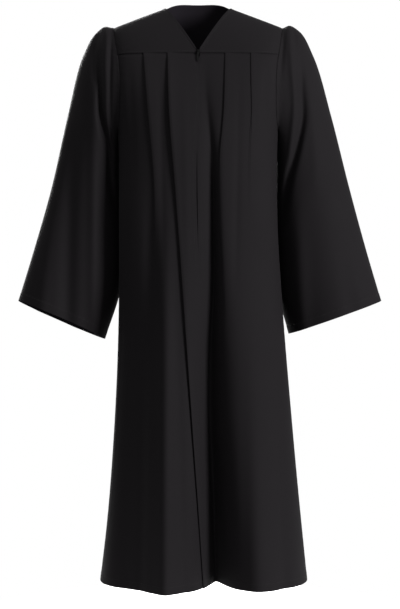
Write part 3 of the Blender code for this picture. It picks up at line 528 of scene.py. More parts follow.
def hem_thickness(cloth, doubled, distance, width):
    """The cloth's thickness near a turned hem: doubled within its width of the edge."""
    return cloth + doubled * turned(distance, width)


def hem_relief(distance, settings):
    """How far a turned hem stands out, and the dip where its stitching draws it in."""
    drawn = HEM_DRAW * bell(distance - settings.hem, HEM_DRAW_WIDTH)
    return HEM_RISE * turned(distance, settings.hem) - drawn


def seam_dip(distance, depth=SEAM_DIP, width=SEAM_WIDTH):
    """How far cloth sinks into a seam, by the distance to it."""
    return depth * bell(distance, width)


def puckers(along, distance, height, pitch):
    """Small ripples that a seam draws into the cloth: two waves along it that die away from it."""
    wave = np.sin(2 * math.pi * along / pitch) + 0.6 * np.sin(2 * math.pi * along / (pitch * 1.63) + 1.1)
    return height * wave * np.exp(-distance / (pitch * 0.8)) * (1 - np.exp(-distance / STEP_WIDTH))


def pleat_block(line, towards, pressed, step, tuck):
    """The columns of one knife pleat: where each lies across, and how high it stands in the fold."""
    share = np.linspace(0, len(PLEAT_PATH) - 1, PLEAT_COLUMNS)
    across_path = run(share, list(enumerate(p[0] for p in PLEAT_PATH)))
    height_path = run(share, list(enumerate(p[1] for p in PLEAT_PATH)))
    straight = np.linspace(PLEAT_PATH[0][0], PLEAT_PATH[-1][0], PLEAT_COLUMNS)
    across = straight + (across_path - straight) * pressed[:, None]
    return line[:, None] + towards * tuck * across, step[:, None] * height_path


def pleated_part(start_turn, lines, end_turn, rows, towards, steps, presses, counts, tuck):
    """The columns from one line, through the pleats, to another: their turns and their heights.

    After each pleat the upper cloth starts at the pleat's height and sinks back by an exponential of the way.
    """
    drops = rows[:, None]
    reach_before = -PLEAT_PATH[0][0] * tuck
    reach_after = PLEAT_PATH[-1][0] * tuck
    turns, heights = [], []
    from_turn, from_x, from_height = start_turn, x_at(start_turn, rows), np.zeros_like(rows)

    def sunk(x):
        return from_height[:, None] * np.exp(-np.abs(x - from_x[:, None]) / PLEAT_FADE)

    for line, step, pressed, count in zip(lines, steps, presses, counts):
        to_turn = turn_at(line - towards * reach_before, rows)
        share = np.arange(count) / count
        block = from_turn[:, None] + (to_turn - from_turn)[:, None] * share
        turns.append(block)
        heights.append(sunk(x_at(block, drops)))
        x, height = pleat_block(line, towards, pressed, step, tuck)
        turns.append(turn_at(x[:, :-1], drops))
        below = sunk(x)
        heights.append((height + below)[:, :-1])
        from_height = step + below[:, -1]
        from_x = line + towards * reach_after
        from_turn = turn_at(from_x, rows)
    share = np.linspace(0, 1, counts[-1] + 1)
    block = from_turn[:, None] + (end_turn - from_turn)[:, None] * share
    turns.append(block)
    heights.append(sunk(x_at(block, drops)))
    return np.concatenate(turns, axis=1), np.concatenate(heights, axis=1)


def torso_grid(face, turns, heights, rows):
    """The body's cloth: its plain section, folds and pleats, which die away at the side seams."""
    drop = np.broadcast_to(rows[:, None], turns.shape)
    points = plain_torso(face, turns, drop)
    x = points[..., 0]
    relief = front_relief(x, drop) if face < 0 else back_relief(x, turns, drop)
    points[..., 1] += face * (relief + heights) * np.clip(SIDE_FADE * np.cos(turns), 0, 1)
    return points


def finish_panel(points, rows, seam_drop, face, edges, settings):
    """Seams, hem and thickness of a body panel: its top sinks under the yoke, and its sewn edges dip."""
    from_top = (rows - seam_drop)[:, None]
    to_hem = (rows[-1] - rows)[:, None]
    points[..., 1] -= face * settings.seam_tuck * bell(from_top, SEAM_TUCK_WIDTH)
    normals = grid_normals(points)
    across, down = cloth_lengths(points)
    offset = np.zeros(across.shape)
    for edge in edges:
        distance = across if edge == 0 else across[:, -1:] - across
        offset = offset - seam_dip(distance)
        held = 1 - np.clip((rows - ARMHOLE_BOTTOM_DROP) / RIPPLE_WAY, 0, RIPPLE_LOSS)[:, None]
        offset = offset + puckers(down, distance, settings.pucker, PANEL_PITCH) * held
    points = points + normals * (offset + hem_relief(to_hem, settings))[..., None]
    thickness = hem_thickness(settings.cloth, settings.cloth, to_hem, settings.hem)
    return points, grid_normals(points), thickness


def even_rows(start, end, count, fine_top=0.03):
    """Rows from the seam to the hem, closer together at the seam."""
    share = np.linspace(0, 1, count)
    return start + (end - start) * (share + fine_top * (np.exp(-share / 0.05) - 1) * (1 - share))


def front_panel(sign, settings):
    """One front, from left to right: through both pleats, between the armhole and side seam and the zip."""
    count, *parts = FRONT_GRID
    rows = even_rows(FRONT_SEAM_DROP + SEAM_GAP, HEM_DROP, count)
    side = armhole_turn(-1, sign, rows)
    centre = turn_at(run(rows, CENTRE_LINE) + sign * run(rows, PLACKET), rows)
    if sign < 0:
        start, end, lines = side, centre, (OUTER_PLEAT_LEFT, INNER_PLEAT_LEFT)
        steps, presses = (SHORT_STEP, LONG_STEP), (PRESSED_SHORT, PRESSED_LONG)
    else:
        start, end, lines = centre, side, (INNER_PLEAT_RIGHT, OUTER_PLEAT_RIGHT)
        steps, presses = (RIGHT_STEP, FAINT_STEP), (PRESSED_RIGHT, PRESSED_FAINT)
        parts = parts[::-1]
    lines = [run(rows, line) for line in lines]
    steps = [np.maximum(run(rows, step), 0) for step in steps]
    presses = [np.clip(run(rows, pressed), 0, 1) for pressed in presses]
    turns, heights = pleated_part(start, lines, end, rows, 1, steps, presses, parts, settings.tuck)
    points = torso_grid(-1, turns, heights, rows)
    return finish_panel(points, rows, FRONT_SEAM_DROP, -1, (0,) if sign < 0 else (-1,), settings)


def back_panel(settings):
    """The back: from one armhole and side seam, through four pleats, to the other."""
    count, *parts = BACK_GRID
    rows = even_rows(BACK_SEAM_DROP + SEAM_GAP, HEM_DROP, count)
    spread = 1 + BACK_PLEAT_SPREAD * (rows - BACK_SEAM_DROP)
    short, let = np.maximum(run(rows, SHORT_STEP), 0), np.clip(run(rows, PRESSED_SHORT), 0, 1)
    middle = np.zeros_like(rows)
    halves = []
    for sign in (-1, 1):
        lines = [sign * place * spread for place in BACK_PLEATS[::-1]]
        side = armhole_turn(1, sign, rows)
        halves.append(
            pleated_part(side, lines, middle, rows, -sign, (short, short), (let, let), parts, settings.tuck)
        )
    turns, heights = (np.concatenate([left[:, :-1], right[:, ::-1]], axis=1) for left, right in zip(*halves))
    points = torso_grid(1, turns, heights, rows)[:, ::-1]
    return finish_panel(points, rows, BACK_SEAM_DROP, 1, (0, -1), settings)


def yoke_lines():
    """The yoke's neck edge and outer edge on one side, from the centre front to the centre back."""
    _, front_count, arm_count, back_count = YOKE_GRID
    total = front_count + arm_count + back_count
    share = np.linspace(0, 1, total + 1)
    arm = np.linspace(-1, 1, arm_count + 1)
    front_x = np.linspace(SLIDER_NOTCH, yoke_arm_x(np.array(-1.0)), front_count + 1)[:-1]
    back_x = np.linspace(yoke_arm_x(np.array(1.0)), 0, back_count + 1)[1:]
    outer_x = np.concatenate([front_x, yoke_arm_x(arm), back_x])
    outer_arch = np.concatenate([-np.ones(front_count), arm, np.ones(back_count)])
    along_vee = np.clip(share * 2, 0, 1)
    along_nape = np.clip(share * 2 - 1, 0, 1)
    vee_x = SLIDER_NOTCH + (NECK_HALF_WIDTH - SLIDER_NOTCH) * along_vee
    neck_x = np.where(share <= 0.5, vee_x, NECK_HALF_WIDTH * np.cos(along_nape * math.pi / 2))
    vee_drop = V_DROP * (1 - along_vee) ** VEE_BOW
    nape_y = NECK_BACK_DEPTH * np.sin(along_nape * math.pi / 2)
    back_y = plain_torso(1, turn_at(neck_x, BACK_SEAM_DROP), BACK_SEAM_DROP)[..., 1]
    nape_arch = np.arcsin(np.clip(nape_y / back_y * math.sin(ARCH_ANGLE), 0, 1)) / ARCH_ANGLE
    neck_arch = np.where(share <= 0.5, arch_at_drop(neck_x, vee_drop), nape_arch)
    return neck_x, neck_arch, outer_x, outer_arch


def yoke_grid():
    """The yoke as a fan of lines from the neck edge to the seams, and its mirror about the centre back."""
    neck_x, neck_arch, outer_x, outer_arch = yoke_lines()
    even = np.linspace(0, 1, YOKE_GRID[0])
    share = (even - YOKE_CROWDING * np.sin(2 * math.pi * even) / (2 * math.pi))[:, None]
    half = yoke_surface(neck_x + (outer_x - neck_x) * share, neck_arch + (outer_arch - neck_arch) * share)
    return np.concatenate([half, half[:, -2::-1] * (-1, 1, 1)], axis=1)


def yoke_piece(settings):
    """The yoke's cloth, rolled over at the neck, lapped over the panels, and sunk into the armhole seams."""
    points = yoke_grid()
    normals = grid_normals(points)
    columns = points.shape[1]
    _, down = cloth_lengths(points)
    to_seam = down[-1:] - down
    front, arm, back = YOKE_GRID[1:]
    place = np.minimum(np.arange(columns), columns - 1 - np.arange(columns))
    on_arm = ((place >= front) & (place <= front + arm)).astype(float)[None, :]
    lap = 1 - on_arm
    offset = settings.neck_roll * bell(down - NECK_ROLL_IN, NECK_ROLL_WIDTH)
    offset = offset + lap * (LAP_RISE * bell(to_seam - LAP_IN, LAP_WIDTH))
    offset = offset - on_arm * seam_dip(to_seam)
    along, _ = cloth_lengths(points)
    offset = offset + on_arm * puckers(along, to_seam, settings.pucker, YOKE_PITCH)
    points = points + normals * offset[..., None]
    points[-1, :, 2] -= lap[0] * settings.yoke_lap
    normals = grid_normals(points)
    thickness = hem_thickness(settings.cloth, settings.cloth * lap, to_seam, LAP_TURNED)
    return points, normals, thickness


def armhole_loop(sign, count):
    """The armhole's edge all round, evenly spaced, from the shoulder over the front and up the back."""
    over = np.linspace(0, 1, OVER_STEPS)
    front = yoke_surface(sign * yoke_arm_x(-over), -over)
    front_drops = np.linspace(FRONT_SEAM_DROP, ARMHOLE_BOTTOM_DROP, ARMHOLE_STEPS)[1:]
    turns = armhole_turn(-1, sign, front_drops)
    down = torso_grid(-1, turns[:, None], 0.0, front_drops)[:, 0]
    back_drops = np.linspace(ARMHOLE_BOTTOM_DROP, BACK_SEAM_DROP, ARMHOLE_STEPS)[1:]
    turns = armhole_turn(1, sign, back_drops)
    up = torso_grid(1, turns[:, None], 0.0, back_drops)[:, 0]
    back = yoke_surface(sign * yoke_arm_x(over[:0:-1]), over[:0:-1])[1:]
    loop = np.concatenate([front, down, up, back, front[:1]])
    length = lengths_along(loop)
    return at_lengths(np.linspace(0, length[-1], count, endpoint=False), length, loop)


def sleeve_grid(sign, sizes):
    """A bell sleeve: rings between its outer and inner line, the first one on the armhole.

    A ring is centre + arm cos + depth sin, and near the head it is drawn onto the armhole's own loop.
    """
    count, columns = SLEEVE_GRID
    loop = armhole_loop(sign, columns)
    middle = -(ARMHOLE_TOP_DROP + ARMHOLE_BOTTOM_DROP) / 2
    reach = (ARMHOLE_BOTTOM_DROP - ARMHOLE_TOP_DROP) / 2
    angle = np.arctan2(-loop[:, 1] / ARMHOLE_HALF_DEPTH, (loop[:, 2] - middle) / reach)
    down = np.linspace(0, 1, count)[:, None]
    outer = np.stack([sign * run(down, sizes["outer_x"]), -run(down, sizes["outer_drop"])], axis=-1)
    inner = np.stack([sign * run(down, sizes["inner_x"]), -run(down, sizes["inner_drop"])], axis=-1)
    centre, arm = (outer + inner) / 2, (outer - inner) / 2
    cosine, sine = np.cos(angle), np.sin(angle)
    flat = centre + arm * cosine[None, :, None]
    x, drop = flat[..., 0], -flat[..., 1]
    relief = folds(x, drop, sizes["front"]) * np.clip(2 * sine, 0, 1)
    relief = relief + folds(x, drop, sizes["back"]) * np.clip(-2 * sine, 0, 1)
    y = run(down, SLEEVE_SHIFT) - run(down, SLEEVE_HALF_DEPTH) * sine - relief * np.sign(sine)
    tilt = sizes["cuff_tilt"] * down**4 * sine
    points = np.stack([x, y, flat[..., 1] + tilt], axis=-1)
    hold = np.clip(1 - down / HEAD_BLEND, 0, 1)[..., None] ** 2
    points = points + (loop - points[0])[None] * hold
    inward = np.stack([np.full(columns, -sign * ALLOWANCE_IN), ALLOWANCE_SHRINK * sine,
                       -ALLOWANCE_SHRINK * cosine], axis=-1)
    allowance = loop[None] + inward[None] * np.array([1.0, 0.5])[:, None, None]
    points = np.concatenate([allowance, points])
    return points[:, ::-1] if sign > 0 else points


def sleeve(sign, sizes, settings):
    """A sleeve's cloth, eased into the armhole with small ripples, and turned up inside at the cuff."""
    points = sleeve_grid(sign, sizes)
    normals = grid_normals(points, closed=True)
    across, down = cloth_lengths(points, closed=True)
    across, down = across[:, :-1], down[:, :-1]
    to_cuff = down[-1:] - down
    offset = puckers(across, down, settings.pucker * SLEEVE_EASE, SLEEVE_PITCH)
    offset = offset - seam_dip(down, SLEEVE_SEAM_DIP, SLEEVE_SEAM_WIDTH)
    offset = offset + HEAD_RISE * bell(down - HEAD_RISE_IN, HEAD_RISE_WIDTH)
    points = points + normals * (offset + hem_relief(to_cuff, settings))[..., None]
    thickness = hem_thickness(settings.cloth, settings.cloth, to_cuff, settings.hem)
    normals = grid_normals(points, closed=True)
    normals[0, :, 0] = 0
    normals[0] = unit(normals[0])
    return points, normals, thickness


def tube_points(centres, sides, ups, radii):
    """Rings round a path: centre + radius (side cos + up sin), for every path at once."""
    angle = np.arange(TUBE_SIDES) * 2 * math.pi / TUBE_SIDES
    ring = np.cos(angle)[:, None] * sides[..., None, :] + np.sin(angle)[:, None] * ups[..., None, :]
    return centres[..., None, :] + ring * radii[..., None, None]


def tube_faces(rings, count):
    """The faces of this many like tubes, each a run of rings with a cap on both ends."""
    ring = np.arange(TUBE_SIDES)
    following = (ring + 1) % TUBE_SIDES
    rows = np.arange(rings - 1)[:, None] * TUBE_SIDES
    near, far = rows, rows + TUBE_SIDES
    walls = np.stack([near + ring, near + following, far + following, far + ring], axis=-1)
    first, last = np.array([[3, 2, 1, 0], [5, 4, 3, 0]]), np.array([[0, 1, 2, 3], [0, 3, 4, 5]])
    one = np.concatenate([walls.reshape(-1, 4), first, last + (rings - 1) * TUBE_SIDES])
    return (one[None] + (np.arange(count) * rings * TUBE_SIDES)[:, None, None]).reshape(-1, 4)


def stitches(name, path, normals, settings, thread):
    """A row of stitches along a path on the cloth: short tubes that arch up and dive in at both ends."""
    length = lengths_along(path)
    count = int(length[-1] / settings.stitch)
    along = np.array([-0.5, -0.38, 0.0, 0.38, 0.5]) * settings.stitch * STITCH_SHARE
    lift = np.array([-0.16, 0.12, 0.2, 0.12, -0.16]) * MM
    places = (np.arange(count)[:, None] + 0.5) * settings.stitch + along
    at = at_lengths(places, length, path)
    up = unit(at_lengths(places, length, normals))
    way = unit(np.gradient(at, axis=1))
    side = unit(np.cross(way, up))
    radii = np.broadcast_to(np.array([0.6, 1.0, 1.0, 1.0, 0.6]) * settings.thread / 2, places.shape)
    points = tube_points(at + up * lift[:, None], side, np.cross(side, way), radii)
    return make_object(name, points.reshape(-1, 3), tube_faces(len(along), count), thread)


def line_across(points, distance_grid, distance):
    """The line of a grid's surface that stays this far along each row."""
    at = np.clip((distance_grid < distance).sum(axis=1) - 1, 0, points.shape[1] - 2)
    rows = np.arange(len(points))
    low, high = distance_grid[rows, at], distance_grid[rows, at + 1]
    share = ((distance - low) / (high - low))[:, None]
    return points[rows, at] + (points[rows, at + 1] - points[rows, at]) * share


def line_down(points, distance_grid, distance):
    """The line of a grid's surface that stays this far down each column."""
    return line_across(np.swapaxes(points, 0, 1), distance_grid.T, distance)


def tape_strip(name, sign, fabric):
    """A zip tape: a flat woven strip behind the front's edge, from under the coil outwards."""
    count, columns = TAPE_GRID
    rows = np.linspace(FRONT_SEAM_DROP, ZIP_END_DROP, count)
    across = np.linspace(TAPE_START, TAPE_START + TAPE_WIDTH, columns)
    x = run(rows, CENTRE_LINE)[:, None] + sign * across
    points = torso_grid(-1, turn_at(x, rows[:, None]), 0.0, rows)
    points[..., 1] += TAPE_BEHIND + TAPE_GAP
    if sign < 0:
        points = points[:, ::-1]
    return cloth_shell(name, points, grid_normals(points), TAPE_THICKNESS, fabric)


def coil(name, plastic):
    """Both chains of the zip: a flattened spiral on each tape, the right one half a turn behind the left."""
    turn_count = int((ZIP_END_DROP - COIL_TOP_DROP) / TOOTH_PITCH)
    share = np.arange(turn_count * COIL_STEPS + 1) / COIL_STEPS
    sides = []
    for sign in (-1, 1):
        drop = COIL_TOP_DROP + TOOTH_PITCH * (share + (0.5 if sign > 0 else 0.0)) * COIL_SQUEEZE
        angle = 2 * math.pi * share * sign
        x = run(drop, CENTRE_LINE)
        front = torso_grid(-1, turn_at(x, drop)[:, None], 0.0, drop)[:, 0]
        centre = front + np.array((0.0, TAPE_BEHIND + COIL_BEHIND, 0.0))
        centre[:, 0] += sign * (COIL_AWAY + COIL_REACH * np.cos(angle))
        centre[:, 1] += COIL_DEPTH * np.sin(angle)
        way = unit(np.gradient(centre, axis=0))
        across = unit(np.cross(way, (0.0, 0.0, 1.0)))
        radii = np.full(len(centre), TOOTH_RADIUS)
        sides.append(tube_points(centre, across, np.cross(across, way), radii))
    points = np.concatenate([side.reshape(-1, 3) for side in sides])
    return make_object(name, points, tube_faces(len(share), 2), plastic)


def rounded_box(centre, half, radius, count=7):
    """A box with rounded edges: a lattice over a cube, each point drawn to the core plus a radius."""
    line = np.linspace(-1, 1, count)
    first, second = np.meshgrid(line, line, indexing="ij")
    ones = np.ones_like(first)
    sides = []
    for axis in range(3):
        for sign in (-1, 1):
            grid = np.stack([sign * ones, first * sign, second], axis=-1)
            sides.append(np.roll(grid, axis, axis=-1))
    lattice = np.concatenate([side.reshape(-1, 3) for side in sides])
    faces = np.concatenate([
        grid_faces(np.arange(count * count).reshape(count, count) + k * count * count) for k in range(6)
    ])
    _, first_at, index = np.unique(np.round(lattice, 6), axis=0, return_index=True, return_inverse=True)
    lattice = lattice[first_at]
    eased = np.sign(lattice) * np.abs(lattice) ** 0.6
    core = np.array(half) - radius
    inside = np.clip(eased * np.array(half), -core, core)
    away = eased * np.array(half) - inside
    away /= np.maximum(np.linalg.norm(away, axis=-1, keepdims=True), 1e-12)
    return np.array(centre) + inside + away * radius, index.reshape(-1)[faces]


def pull_frame():
    """The place of the pull's axis, and the lean of the cloth behind it."""
    drop = np.array([PULL_AXIS_DROP + PULL_LEVEL])
    face = torso_grid(-1, np.array([[0.0]]), 0.0, drop)[0, 0, 1]
    place = Matrix.Translation((0.0, face - PULL_AXIS_OUT, -PULL_AXIS_DROP))
    return place @ Matrix.Rotation(-math.radians(PULL_TILT), 4, "X")


def moved(points, matrix):
    """Points moved by a matrix."""
    return points @ np.array(matrix.to_3x3()).T + np.array(matrix.translation)


def slider(metal):
    """The slider: two plates that taper to the tail, a bridge between them, and an arched crown in front."""
    parts = []
    for depth in PLATE_DEPTHS:
        points, faces = rounded_box((0, depth, PLATE_MIDDLE), PLATE_HALF, PLATE_ROUND, 9)
        points[:, 0] *= 1 - PLATE_TAPER * np.clip((-points[:, 2] - TAPER_TOP) / TAPER_LENGTH, 0, 1)
        parts.append((points, faces))
    parts.append(rounded_box(BRIDGE_PLACE, BRIDGE_HALF, PLATE_ROUND, 5))
    points, faces = rounded_box((0, 0, CROWN_MIDDLE), CROWN_HALF, CROWN_ROUND, 11)
    along = (points[:, 2] - CROWN_MIDDLE) / CROWN_HALF[2]
    points[:, 1] += CROWN_BACK * np.abs(along) ** 4 - CROWN_OUT
    parts.append((points, faces))
    starts = np.cumsum([0] + [len(points) for points, _ in parts])
    faces = np.concatenate([faces + start for (_, faces), start in zip(parts, starts)])
    points = moved(np.concatenate([points for points, _ in parts]), pull_frame())
    return make_object("slider", points, faces, metal)


def pull_tab(metal):
    """The pull: a ring between the tongue's outline and the eye's, its section a flat superellipse."""
    columns, around = 64, 28
    turn = np.arange(columns) * 2 * math.pi / columns
    share = (1 - np.cos(turn)) / 2
    top, bottom = PULL_THICKNESS / 2, -PULL_LENGTH
    outer_z = top + (bottom - top) * share
    outer_x = boxy(np.sin(turn), 0.35) * run(-outer_z, PULL_HALF_WIDTH)
    eye_z = EYE_TOP + (EYE_BOTTOM - EYE_TOP) * share
    eye_x = EYE_HALF_WIDTH * boxy(np.sin(turn), 0.5)
    loop = np.arange(around) * 2 * math.pi / around
    way = (1 - boxy(np.cos(loop), 0.4))[:, None] / 2
    depth = boxy(np.sin(loop), 0.4)[:, None] * PULL_THICKNESS / 2
    x = outer_x * (1 - way) + eye_x * way
    z = outer_z * (1 - way) + eye_z * way
    # The tongue's faces are pressed in a little inside its rim
    dent = DENT * np.clip((-z - DENT_TOP) / MM, 0, 1) * np.clip((way - 0.12) / 0.1, 0, 1)
    y = np.broadcast_to(depth, x.shape)
    y = y - np.sign(y) * dent
    index = np.pad(np.arange(columns * around).reshape(around, columns), ((0, 1), (0, 1)), mode="wrap")
    points = moved(np.stack([x, y, z], axis=-1).reshape(-1, 3), pull_frame())
    return make_object("pull", points, grid_faces(index), metal)


# A wave texture of scale s repeats every 0.314 / s of its space
WAVE_REPEAT = 0.314


def linear(code):
    """A colour written as sRGB hex, as the linear values that shaders work in."""
    parts = [int(code[k : k + 2], 16) / 255 for k in (1, 3, 5)]
    return (*(p / 12.92 if p <= 0.04045 else ((p + 0.055) / 1.055) ** 2.4 for p in parts), 1.0)


def node(tree, kind, links=None, values=None, **settings):
    """Adds a node: settings are its properties, values its fixed inputs, links what feeds the others."""
    made = tree.nodes.new(kind)
    for key, value in settings.items():
        setattr(made, key, value)
    for key, value in (values or {}).items():
        made.inputs[key].default_value = value
    for key, source in (links or {}).items():
        tree.links.new(source, made.inputs[key])
    return made


def wander(tree, scale, detail=2.0):
    """A soft noise over the piece's own place."""
    place = node(tree, "ShaderNodeTexCoord")
    return node(tree, "ShaderNodeTexNoise", {"Vector": place.outputs["Object"]},
                {"Scale": scale, "Detail": detail})


def tone(tree, share, first, second):
    """A colour between two hex codes or linear colours, by the share that a texture gives."""
    first, second = (linear(colour) if isinstance(colour, str) else colour for colour in (first, second))
    return node(tree, "ShaderNodeMix", {"Factor": share.outputs["Fac"]}, {"A": first, "B": second},
                data_type="RGBA").outputs["Result"]


def between(tree, share, low, high):
    """A value between two, by the share that a texture gives."""
    return node(tree, "ShaderNodeMapRange", {"Value": share.outputs["Fac"]},
                {"To Min": low, "To Max": high}).outputs["Result"]


def bump(tree, height, strength, distance):
    """A relief from a texture's height."""
    return node(tree, "ShaderNodeBump", {"Height": height},
                {"Strength": strength, "Distance": distance}).outputs["Normal"]


def woven(tree, pitch, strength):
    """A twill's relief, from two crossing waves on the cloth's own lengths and slubs, and the slubs."""
    lengths = {"Vector": node(tree, "ShaderNodeUVMap", uv_map="cloth").outputs["UV"]}
    scale = WAVE_REPEAT / pitch
    twill = node(tree, "ShaderNodeTexWave", lengths,
                 {"Scale": scale, "Distortion": 0.6, "Detail": 1.0, "Detail Scale": 0.5},
                 bands_direction="DIAGONAL")
    rib = node(tree, "ShaderNodeTexWave", lengths, {"Scale": scale * 0.9}, bands_direction="X")
    slub = node(tree, "ShaderNodeTexNoise", lengths, {"Scale": 420.0, "Detail": 2.0})
    both = node(tree, "ShaderNodeMix", {"A": twill.outputs["Fac"], "B": rib.outputs["Fac"]}, {"Factor": 0.35})
    height = node(tree, "ShaderNodeMath", {0: both.outputs["Result"], 1: slub.outputs["Fac"]},
                  operation="ADD")
    return bump(tree, height.outputs["Value"], strength, 0.12 * MM), slub


# Each maker gives what feeds its material's shader, and the shader's own values


def gown_cloth(tree, settings):
    """Matt black polyester twill, brushed on the face, with a faint pile that greys its rims."""
    relief, slub = woven(tree, settings.weave, 0.55)
    broad = wander(tree, 9.0, 3.0)
    plain = tone(tree, broad, tuple(settings.colour), "#080708")
    fleck = node(tree, "ShaderNodeMix", {"Factor": slub.outputs["Fac"], "A": plain},
                 {"B": linear("#0a090a")}, data_type="RGBA").outputs["Result"]
    return ({"Base Color": fleck, "Roughness": between(tree, broad, 0.72, 0.86), "Normal": relief},
            {"Sheen Weight": 0.006, "Sheen Roughness": 0.4, "Sheen Tint": linear("#c9c7c9"),
             "Specular IOR Level": 0.02})


def gown_cloth_inside(tree, settings):
    """The cloth's unbrushed back: the same black twill, flatter, as inside the neck and cuffs."""
    relief, slub = woven(tree, settings.weave, 0.4)
    colour = tone(tree, wander(tree, 7.0), tuple(settings.inside), "#0e0c0f")
    return ({"Base Color": colour, "Roughness": between(tree, slub, 0.8, 0.95), "Normal": relief},
            {"Specular IOR Level": 0.01})


def zip_tape(tree, settings):
    """The zip's tape: plain woven polyester, ribbed across, its 0.5 mm rib drawn at 1 mm so that it holds."""
    lengths = node(tree, "ShaderNodeUVMap", uv_map="cloth")
    rib = node(tree, "ShaderNodeTexWave", {"Vector": lengths.outputs["UV"]}, {"Scale": WAVE_REPEAT / MM},
               bands_direction="Y")
    colour = tone(tree, wander(tree, 160.0), "#030303", "#050505")
    return ({"Base Color": colour, "Normal": bump(tree, rib.outputs["Fac"], 0.6, 0.1 * MM)},
            {"Roughness": 0.85, "Specular IOR Level": 0.01})


def nylon(tree, settings):
    """The coil: black nylon wire, smooth with a soft shine."""
    grain = wander(tree, 900.0)
    colour = tone(tree, grain, "#040404", "#060606")
    return ({"Base Color": colour, "Roughness": between(tree, grain, 0.34, 0.5)},
            {"Specular IOR Level": 0.02})


def enamel(tree, settings):
    """The slider and pull: die-cast zinc under black enamel, faintly rubbed on the faces."""
    rub = wander(tree, 700.0, 4.0)
    return ({"Base Color": tone(tree, rub, "#030303", "#060606"), "Roughness": between(tree, rub, 0.5, 0.65),
             "Normal": bump(tree, rub.outputs["Fac"], 0.15, 0.05 * MM)}, {"Specular IOR Level": 0.02})


def sewing_thread(tree, settings):
    """Spun polyester sewing thread, twisted along each stitch."""
    return ({"Base Color": tone(tree, wander(tree, 1800.0, 1.0), "#080808", "#0e0e0e")},
            {"Roughness": 0.7, "Specular IOR Level": 0.1})


def floor_paint(tree, settings):
    """The studio's floor: matt off-white paint."""
    return {}, {"Base Color": linear("#f4f4f4"), "Roughness": 0.9}


MAKERS = {
    "gown_cloth": gown_cloth,
    "gown_cloth_inside": gown_cloth_inside,
    "zip_tape": zip_tape,
    "zip_coil": nylon,
    "zip_metal": enamel,
    "thread": sewing_thread,
    "floor": floor_paint,
}


def material_of(name, settings):
    """One of the gown's materials, made the first time that it is asked for."""
    found = next((m for m in bpy.data.materials if m.get("gown_part") == name), None)
    if found is None:
        found = bpy.data.materials.new(name)
        found["gown_part"] = name
        found.use_nodes = True
        tree = found.node_tree
        tree.nodes.clear()
        shader = node(tree, "ShaderNodeBsdfPrincipled", *MAKERS[name](tree, settings))
        node(tree, "ShaderNodeOutputMaterial", {"Surface": shader.outputs["BSDF"]})
    return found


def place_piece(made, slot_name=None, *nodes, body=GOWN_BODY):
    """Fixes a finished piece to its body, in the place of the frame's own pieces."""
    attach(made, body)
    if nodes:
        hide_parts(*nodes)
    return made


def sewn_cloth(name, surface, settings, closed=False):
    """A cloth of the gown in the place of its own node of the frame."""
    fabric = material_of("gown_cloth", settings), material_of("gown_cloth_inside", settings)
    return place_piece(cloth_shell(f"{name}_cloth", *surface, fabric, closed), "gown_cloth", name)


def stitch_row(name, line, facing, settings):
    """A row of stitches, fixed to the gown."""
    return place_piece(stitches(f"{name}_stitches", line, facing, settings, material_of("thread", settings)))


def hem_row(name, points, normals, settings):
    """The stitching round a panel's hem, along the row of its grid that lies nearest."""
    _, down = cloth_lengths(points)
    at = np.abs(down[-1, 0] - down[:, 0] - (settings.hem - HEM_STITCH_IN)).argmin()
    return stitch_row(f"{name}_hem", points[at, 2:-2], normals[at, 2:-2], settings)


def front_cloths(settings):
    """Both fronts, with the stitching beside the zip and round the hem."""
    for name, sign in (("front_left", -1), ("front_right", 1)):
        surface = front_panel(sign, settings)
        cloth = sewn_cloth(name, surface, settings)
        points, normals = surface[:2]
        across, _ = cloth_lengths(points)
        rows = -points[:, 0, 2]
        shown = (rows > ZIP_STITCH_TOP) & (rows < ZIP_STITCH_END)
        from_zip = (across[:, -1:] - across)[:, ::-1] if sign < 0 else across
        line, facing = (
            line_across(grid[:, ::-1] if sign < 0 else grid, from_zip, settings.placket)[shown]
            for grid in (points, normals)
        )
        zip_row = stitch_row(f"{name}_zip", line, facing, settings)
        rows_sewn = (zip_row, hem_row(name, points, normals, settings))


def back_cloth(settings):
    """The back, with the stitching round its hem."""
    surface = back_panel(settings)
    cloth = sewn_cloth("back", surface, settings)
    hem_row("back", *surface[:2], settings)


def yoke_cloth(settings):
    """The yoke, with the stitching along its seams and its neck edge."""
    surface = yoke_piece(settings)
    cloth = sewn_cloth("yoke", surface, settings)
    points, normals = surface[:2]
    _, down = cloth_lengths(points)
    to_seam = down[-1:] - down
    _, front, arm, _ = YOKE_GRID
    width = points.shape[1]
    spans = {
        "yoke_front_right": slice(2, front - 1),
        "yoke_back": slice(front + arm + 1, width - front - arm - 1),
        "yoke_front_left": slice(width - front + 1, width - 2),
    }
    for name, span in spans.items():
        line, facing = (
            line_down(grid[::-1, span], to_seam[::-1, span], SEAM_STITCH_IN) for grid in (points, normals)
        )
        stitch_row(name, line, facing, settings)
    line, facing = (line_down(grid, down, NECK_STITCH_IN)[2:-2] for grid in (points, normals))
    stitch_row("neck", line, facing, settings)


def sleeve_cloths(settings):
    """Both sleeves, with the stitching round their cuffs."""
    for name, sign, sizes in (("sleeve_left", -1, SLEEVE_LEFT), ("sleeve_right", 1, SLEEVE_RIGHT)):
        surface = sleeve(sign, sizes, settings)
        cloth = sewn_cloth(name, surface, settings, closed=True)
        points, normals = surface[:2]
        _, down = cloth_lengths(points)
        to_cuff = (down[-1:] - down)[::-1]
        up = settings.hem - HEM_STITCH_IN
        line, facing = (line_down(grid[::-1], to_cuff, up) for grid in (points, normals))
        row = stitch_row(f"{name}_cuff", line, facing, settings)


